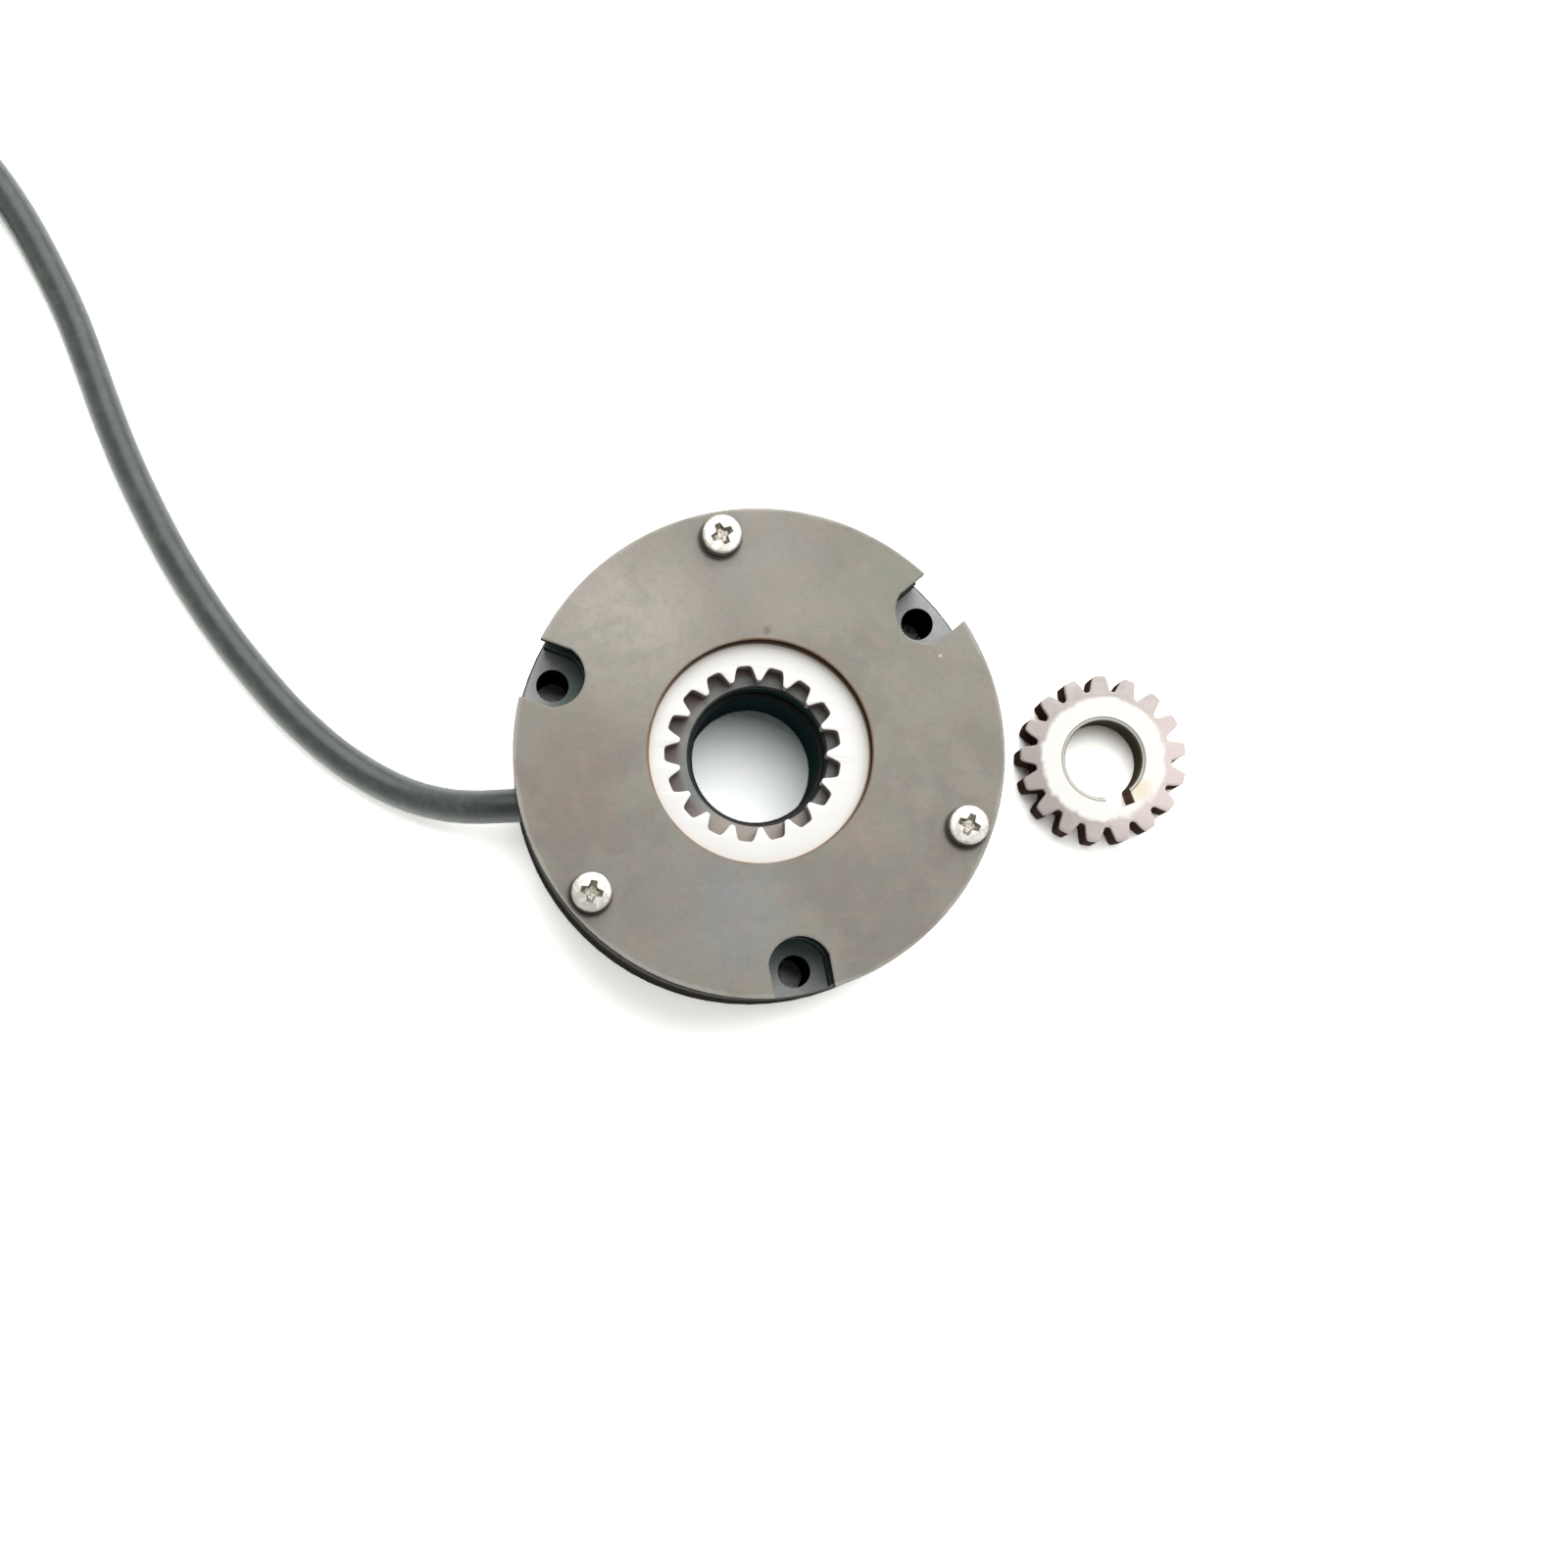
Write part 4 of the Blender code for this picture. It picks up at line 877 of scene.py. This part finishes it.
def make_screw(number):
    """A pan head screw: a low dome with a rounded rim, a cross recess and a plain shank."""
    low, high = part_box(f"plate_screw_{number}")
    head_low = high.z - HEAD_HEIGHT
    flat = HEAD_RADIUS - HEAD_TAPER - HEAD_ROUNDING
    profile = [(0.0, high.z)]
    for share in (0.25, 0.45, 0.65, 0.82):
        profile.append((flat * share, high.z - HEAD_CROWN * share**2))
    for i in range(11):
        turn = math.radians(9.0 * i)
        drop = HEAD_CROWN + HEAD_ROUNDING * (1 - math.cos(turn))
        profile.append((flat + HEAD_ROUNDING * math.sin(turn), high.z - drop))
    profile += [
        (HEAD_RADIUS, head_low + HEAD_FOOT_HEIGHT),
        (HEAD_RADIUS - 0.0001, head_low + 0.00008),
        (HEAD_RADIUS - HEAD_FOOT_HEIGHT, head_low),
        (SHANK_RADIUS, head_low),
        (SHANK_RADIUS, low.z + SHANK_CHAMFER),
        (SHANK_RADIUS - SHANK_CHAMFER, low.z),
        (0.0, low.z),
    ]
    x, y = on_circle(BOLT_CIRCLE_RADIUS, SCREW_ANGLES[number - 1], (BRAKE_X, 0.0))
    screw = turned_piece(f"plate_screw_{number}_fine", profile, 64, NICKEL, (x, y, 0.0))
    cut_by(screw, recess_cutter(high.z, (x, y), RECESS_ANGLES[number - 1]), own_finish=True)
    edges = screw.modifiers.new("edges", "BEVEL")
    edges.width = SCREW_EDGE
    edges.segments = 2
    edges.limit_method = "ANGLE"
    edges.angle_limit = math.radians(40)
    shaded(screw, 40)
    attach(screw, "stator")
    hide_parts(f"plate_screw_{number}")


def coil_points():
    """The cable's turns, wound inward on the floor, with the sheath's end led inside."""
    wall = COIL_TURN_RADIUS - COIL_PITCH * COIL_TURNS - CABLE_RADIUS
    drift = CABLE_RADIUS + LEAD_SPACING
    points = []
    steps = round(COIL_TURNS * COIL_POINTS_PER_TURN)
    for i in range(steps + 1):
        turns = COIL_TURNS * i / steps
        inward = max(0.0, (turns - COIL_TURNS + COIL_END_SHARE) / COIL_END_SHARE)
        inward = inward**2 * (3 - 2 * inward)
        radius = COIL_TURN_RADIUS - COIL_PITCH * turns - drift * inward
        place = on_circle(radius, COIL_START_ANGLE + 360.0 * turns, COIL_CENTRE)
        points.append((*place, CABLE_Z))
    return points, wall


def make_lead(number, wall, end_angle, material):
    """One core of the cable, from inside the sheath's end, curling down onto the floor."""
    start = wall - (number - 0.5) * LEAD_SPACING
    end = LEAD_END_RADIUS - (number - 1) * 2 * LEAD_SPACING
    points = []
    steps = 18
    for i in range(-1, steps + 1):
        share = i / steps
        radius = start + (end - start) * share * abs(share)
        x, y = on_circle(radius, end_angle + LEAD_SWEEP * share, COIL_CENTRE)
        drop = (CABLE_RADIUS - FERRULE_RADIUS) * (1 - (1 - max(share, 0.0)) ** 2)
        points.append((x, y, CABLE_Z - drop))
    line = smooth_route(points, LEAD_POINT_SPACING)
    lead = round_cord(f"lead_{number}_fine", line, LEAD_RADIUS, material, 4)
    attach(lead, "stator")
    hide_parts(f"lead_{number}")
    return lead


def make_cable():
    points, wall = coil_points()
    route = [(BRAKE_X + x, y, z) for x, y, z in CABLE_ROUTE]
    line = smooth_route(route + points, CABLE_POINT_SPACING)
    cable = round_cord("cable_sheath_fine", line, CABLE_RADIUS, SHEATH)
    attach(cable, "stator")
    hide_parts("brake_cable", "cable_coil")
    end_angle = COIL_START_ANGLE + 360.0 * COIL_TURNS
    leads = [make_lead(1, wall, end_angle, RED), make_lead(2, wall, end_angle, BLACK)]


def dress_nodes():
    """Gives every CAD node that stays its own finish."""
    finishes = {
        "stator_housing": STATOR,
        "coil_bobbin": BOBBIN,
        "coil_winding": COPPER,
        "potting_ring": RESIN,
        "friction_lining_lower": LINING,
        "friction_lining_upper": LINING,
        "cable_bush": RUBBER,
        "ferrule_1": TIN,
        "ferrule_2": TIN,
    }
    for number in range(1, 7):
        finishes[f"torque_spring_{number}"] = SPRING
    for number in range(1, 4):
        finishes[f"spacer_{number}"] = NICKEL
    for name, material in finishes.items():
        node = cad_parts[name]
        node.data.materials.clear()
        node.data.materials.append(material)


# Stage

def make_floor():
    """A plain pale floor. Seen or mirrored it shows lighter, as in a bright picture, with its shadows."""
    corners = [(x * FLOOR_SIZE, y * FLOOR_SIZE, 0.0) for x, y in ((-1, -1), (1, -1), (1, 1), (-1, 1))]
    mesh = bpy.data.meshes.new("floor")
    mesh.from_pydata(corners, [], [(0, 1, 2, 3)])
    material = bpy.data.materials.new("floor")
    material.use_nodes = True
    tree = material.node_tree
    tree.nodes.clear()
    output = tree.nodes.new("ShaderNodeOutputMaterial")
    diffuse = tree.nodes.new("ShaderNodeBsdfDiffuse")
    path = tree.nodes.new("ShaderNodeLightPath")
    seen = path.outputs["Is Camera Ray"]
    for other in ("Is Glossy Ray", "Is Transmission Ray"):
        either = tree.nodes.new("ShaderNodeMath")
        either.operation = "MAXIMUM"
        tree.links.new(seen, either.inputs[0])
        tree.links.new(path.outputs[other], either.inputs[1])
        seen = either.outputs[0]
    shade = tree.nodes.new("ShaderNodeMix")
    shade.data_type = "RGBA"
    shade.inputs[6].default_value = FLOOR_COLOUR
    shade.inputs[7].default_value = FLOOR_SEEN_COLOUR
    tree.links.new(seen, shade.inputs[0])
    tree.links.new(shade.outputs[2], diffuse.inputs["Color"])
    tree.links.new(diffuse.outputs[0], output.inputs["Surface"])
    add("floor", mesh, material)


def make_world():
    """Soft light from all round, brightest near the horizon, and white where it is seen."""
    world = bpy.data.worlds.new("studio")
    bpy.context.scene.world = world
    world.use_nodes = True
    tree = world.node_tree
    background = tree.nodes["Background"]
    background.inputs["Color"].default_value = (1.0, 1.0, 1.0, 1.0)
    place = tree.nodes.new("ShaderNodeTexCoord")
    split = tree.nodes.new("ShaderNodeSeparateXYZ")
    tree.links.new(place.outputs["Generated"], split.inputs[0])
    fade = tree.nodes.new("ShaderNodeMapRange")
    fade.interpolation_type = "SMOOTHSTEP"
    fade.inputs["From Min"].default_value = 0.0
    fade.inputs["From Max"].default_value = SKY_FADE_END
    fade.inputs["To Min"].default_value = SKY_LOW
    fade.inputs["To Max"].default_value = SKY_HIGH
    tree.links.new(split.outputs[2], fade.inputs["Value"])
    path = tree.nodes.new("ShaderNodeLightPath")
    strength = tree.nodes.new("ShaderNodeMix")
    tree.links.new(path.outputs["Is Camera Ray"], strength.inputs[0])
    tree.links.new(fade.outputs[0], strength.inputs[2])
    strength.inputs[3].default_value = 1.0
    tree.links.new(strength.outputs[0], background.inputs["Strength"])


def make_key():
    """The key light: a large round soft box above, towards the photograph's upper right."""
    lean = math.radians(KEY_LEAN)
    turn = math.radians(KEY_TURN)
    way = Vector((math.sin(lean) * math.cos(turn), math.sin(lean) * math.sin(turn), math.cos(lean)))
    light = bpy.data.lights.new("key", "AREA")
    light.shape = "DISK"
    light.size = KEY_SIZE
    light.energy = KEY_POWER
    lamp = bpy.data.objects.new("key", light)
    bpy.context.scene.collection.objects.link(lamp)
    lamp.location = Vector((BRAKE_X, 0.0, 0.0)) + KEY_DISTANCE * way
    lamp.rotation_euler = (-way).to_track_quat("-Z", "Y").to_euler()


def make_camera():
    camera = bpy.data.objects.new("camera", bpy.data.cameras.new("camera"))
    bpy.context.scene.collection.objects.link(camera)
    camera.location = CAMERA_PLACE
    camera.rotation_euler = [math.radians(angle) for angle in CAMERA_TILT]
    camera.data.lens = CAMERA_LENS
    camera.data.sensor_width = 36.0
    camera.data.clip_start = 0.02
    bpy.context.scene.camera = camera


make_camera()
make_cable()
make_side_plate()
make_armature()
make_rotor()
make_hub()
for index in (1, 2, 3):
    make_screw(index)
dress_nodes()
make_floor()
make_world()
make_key()
bpy.context.scene.view_settings.view_transform = "Standard"
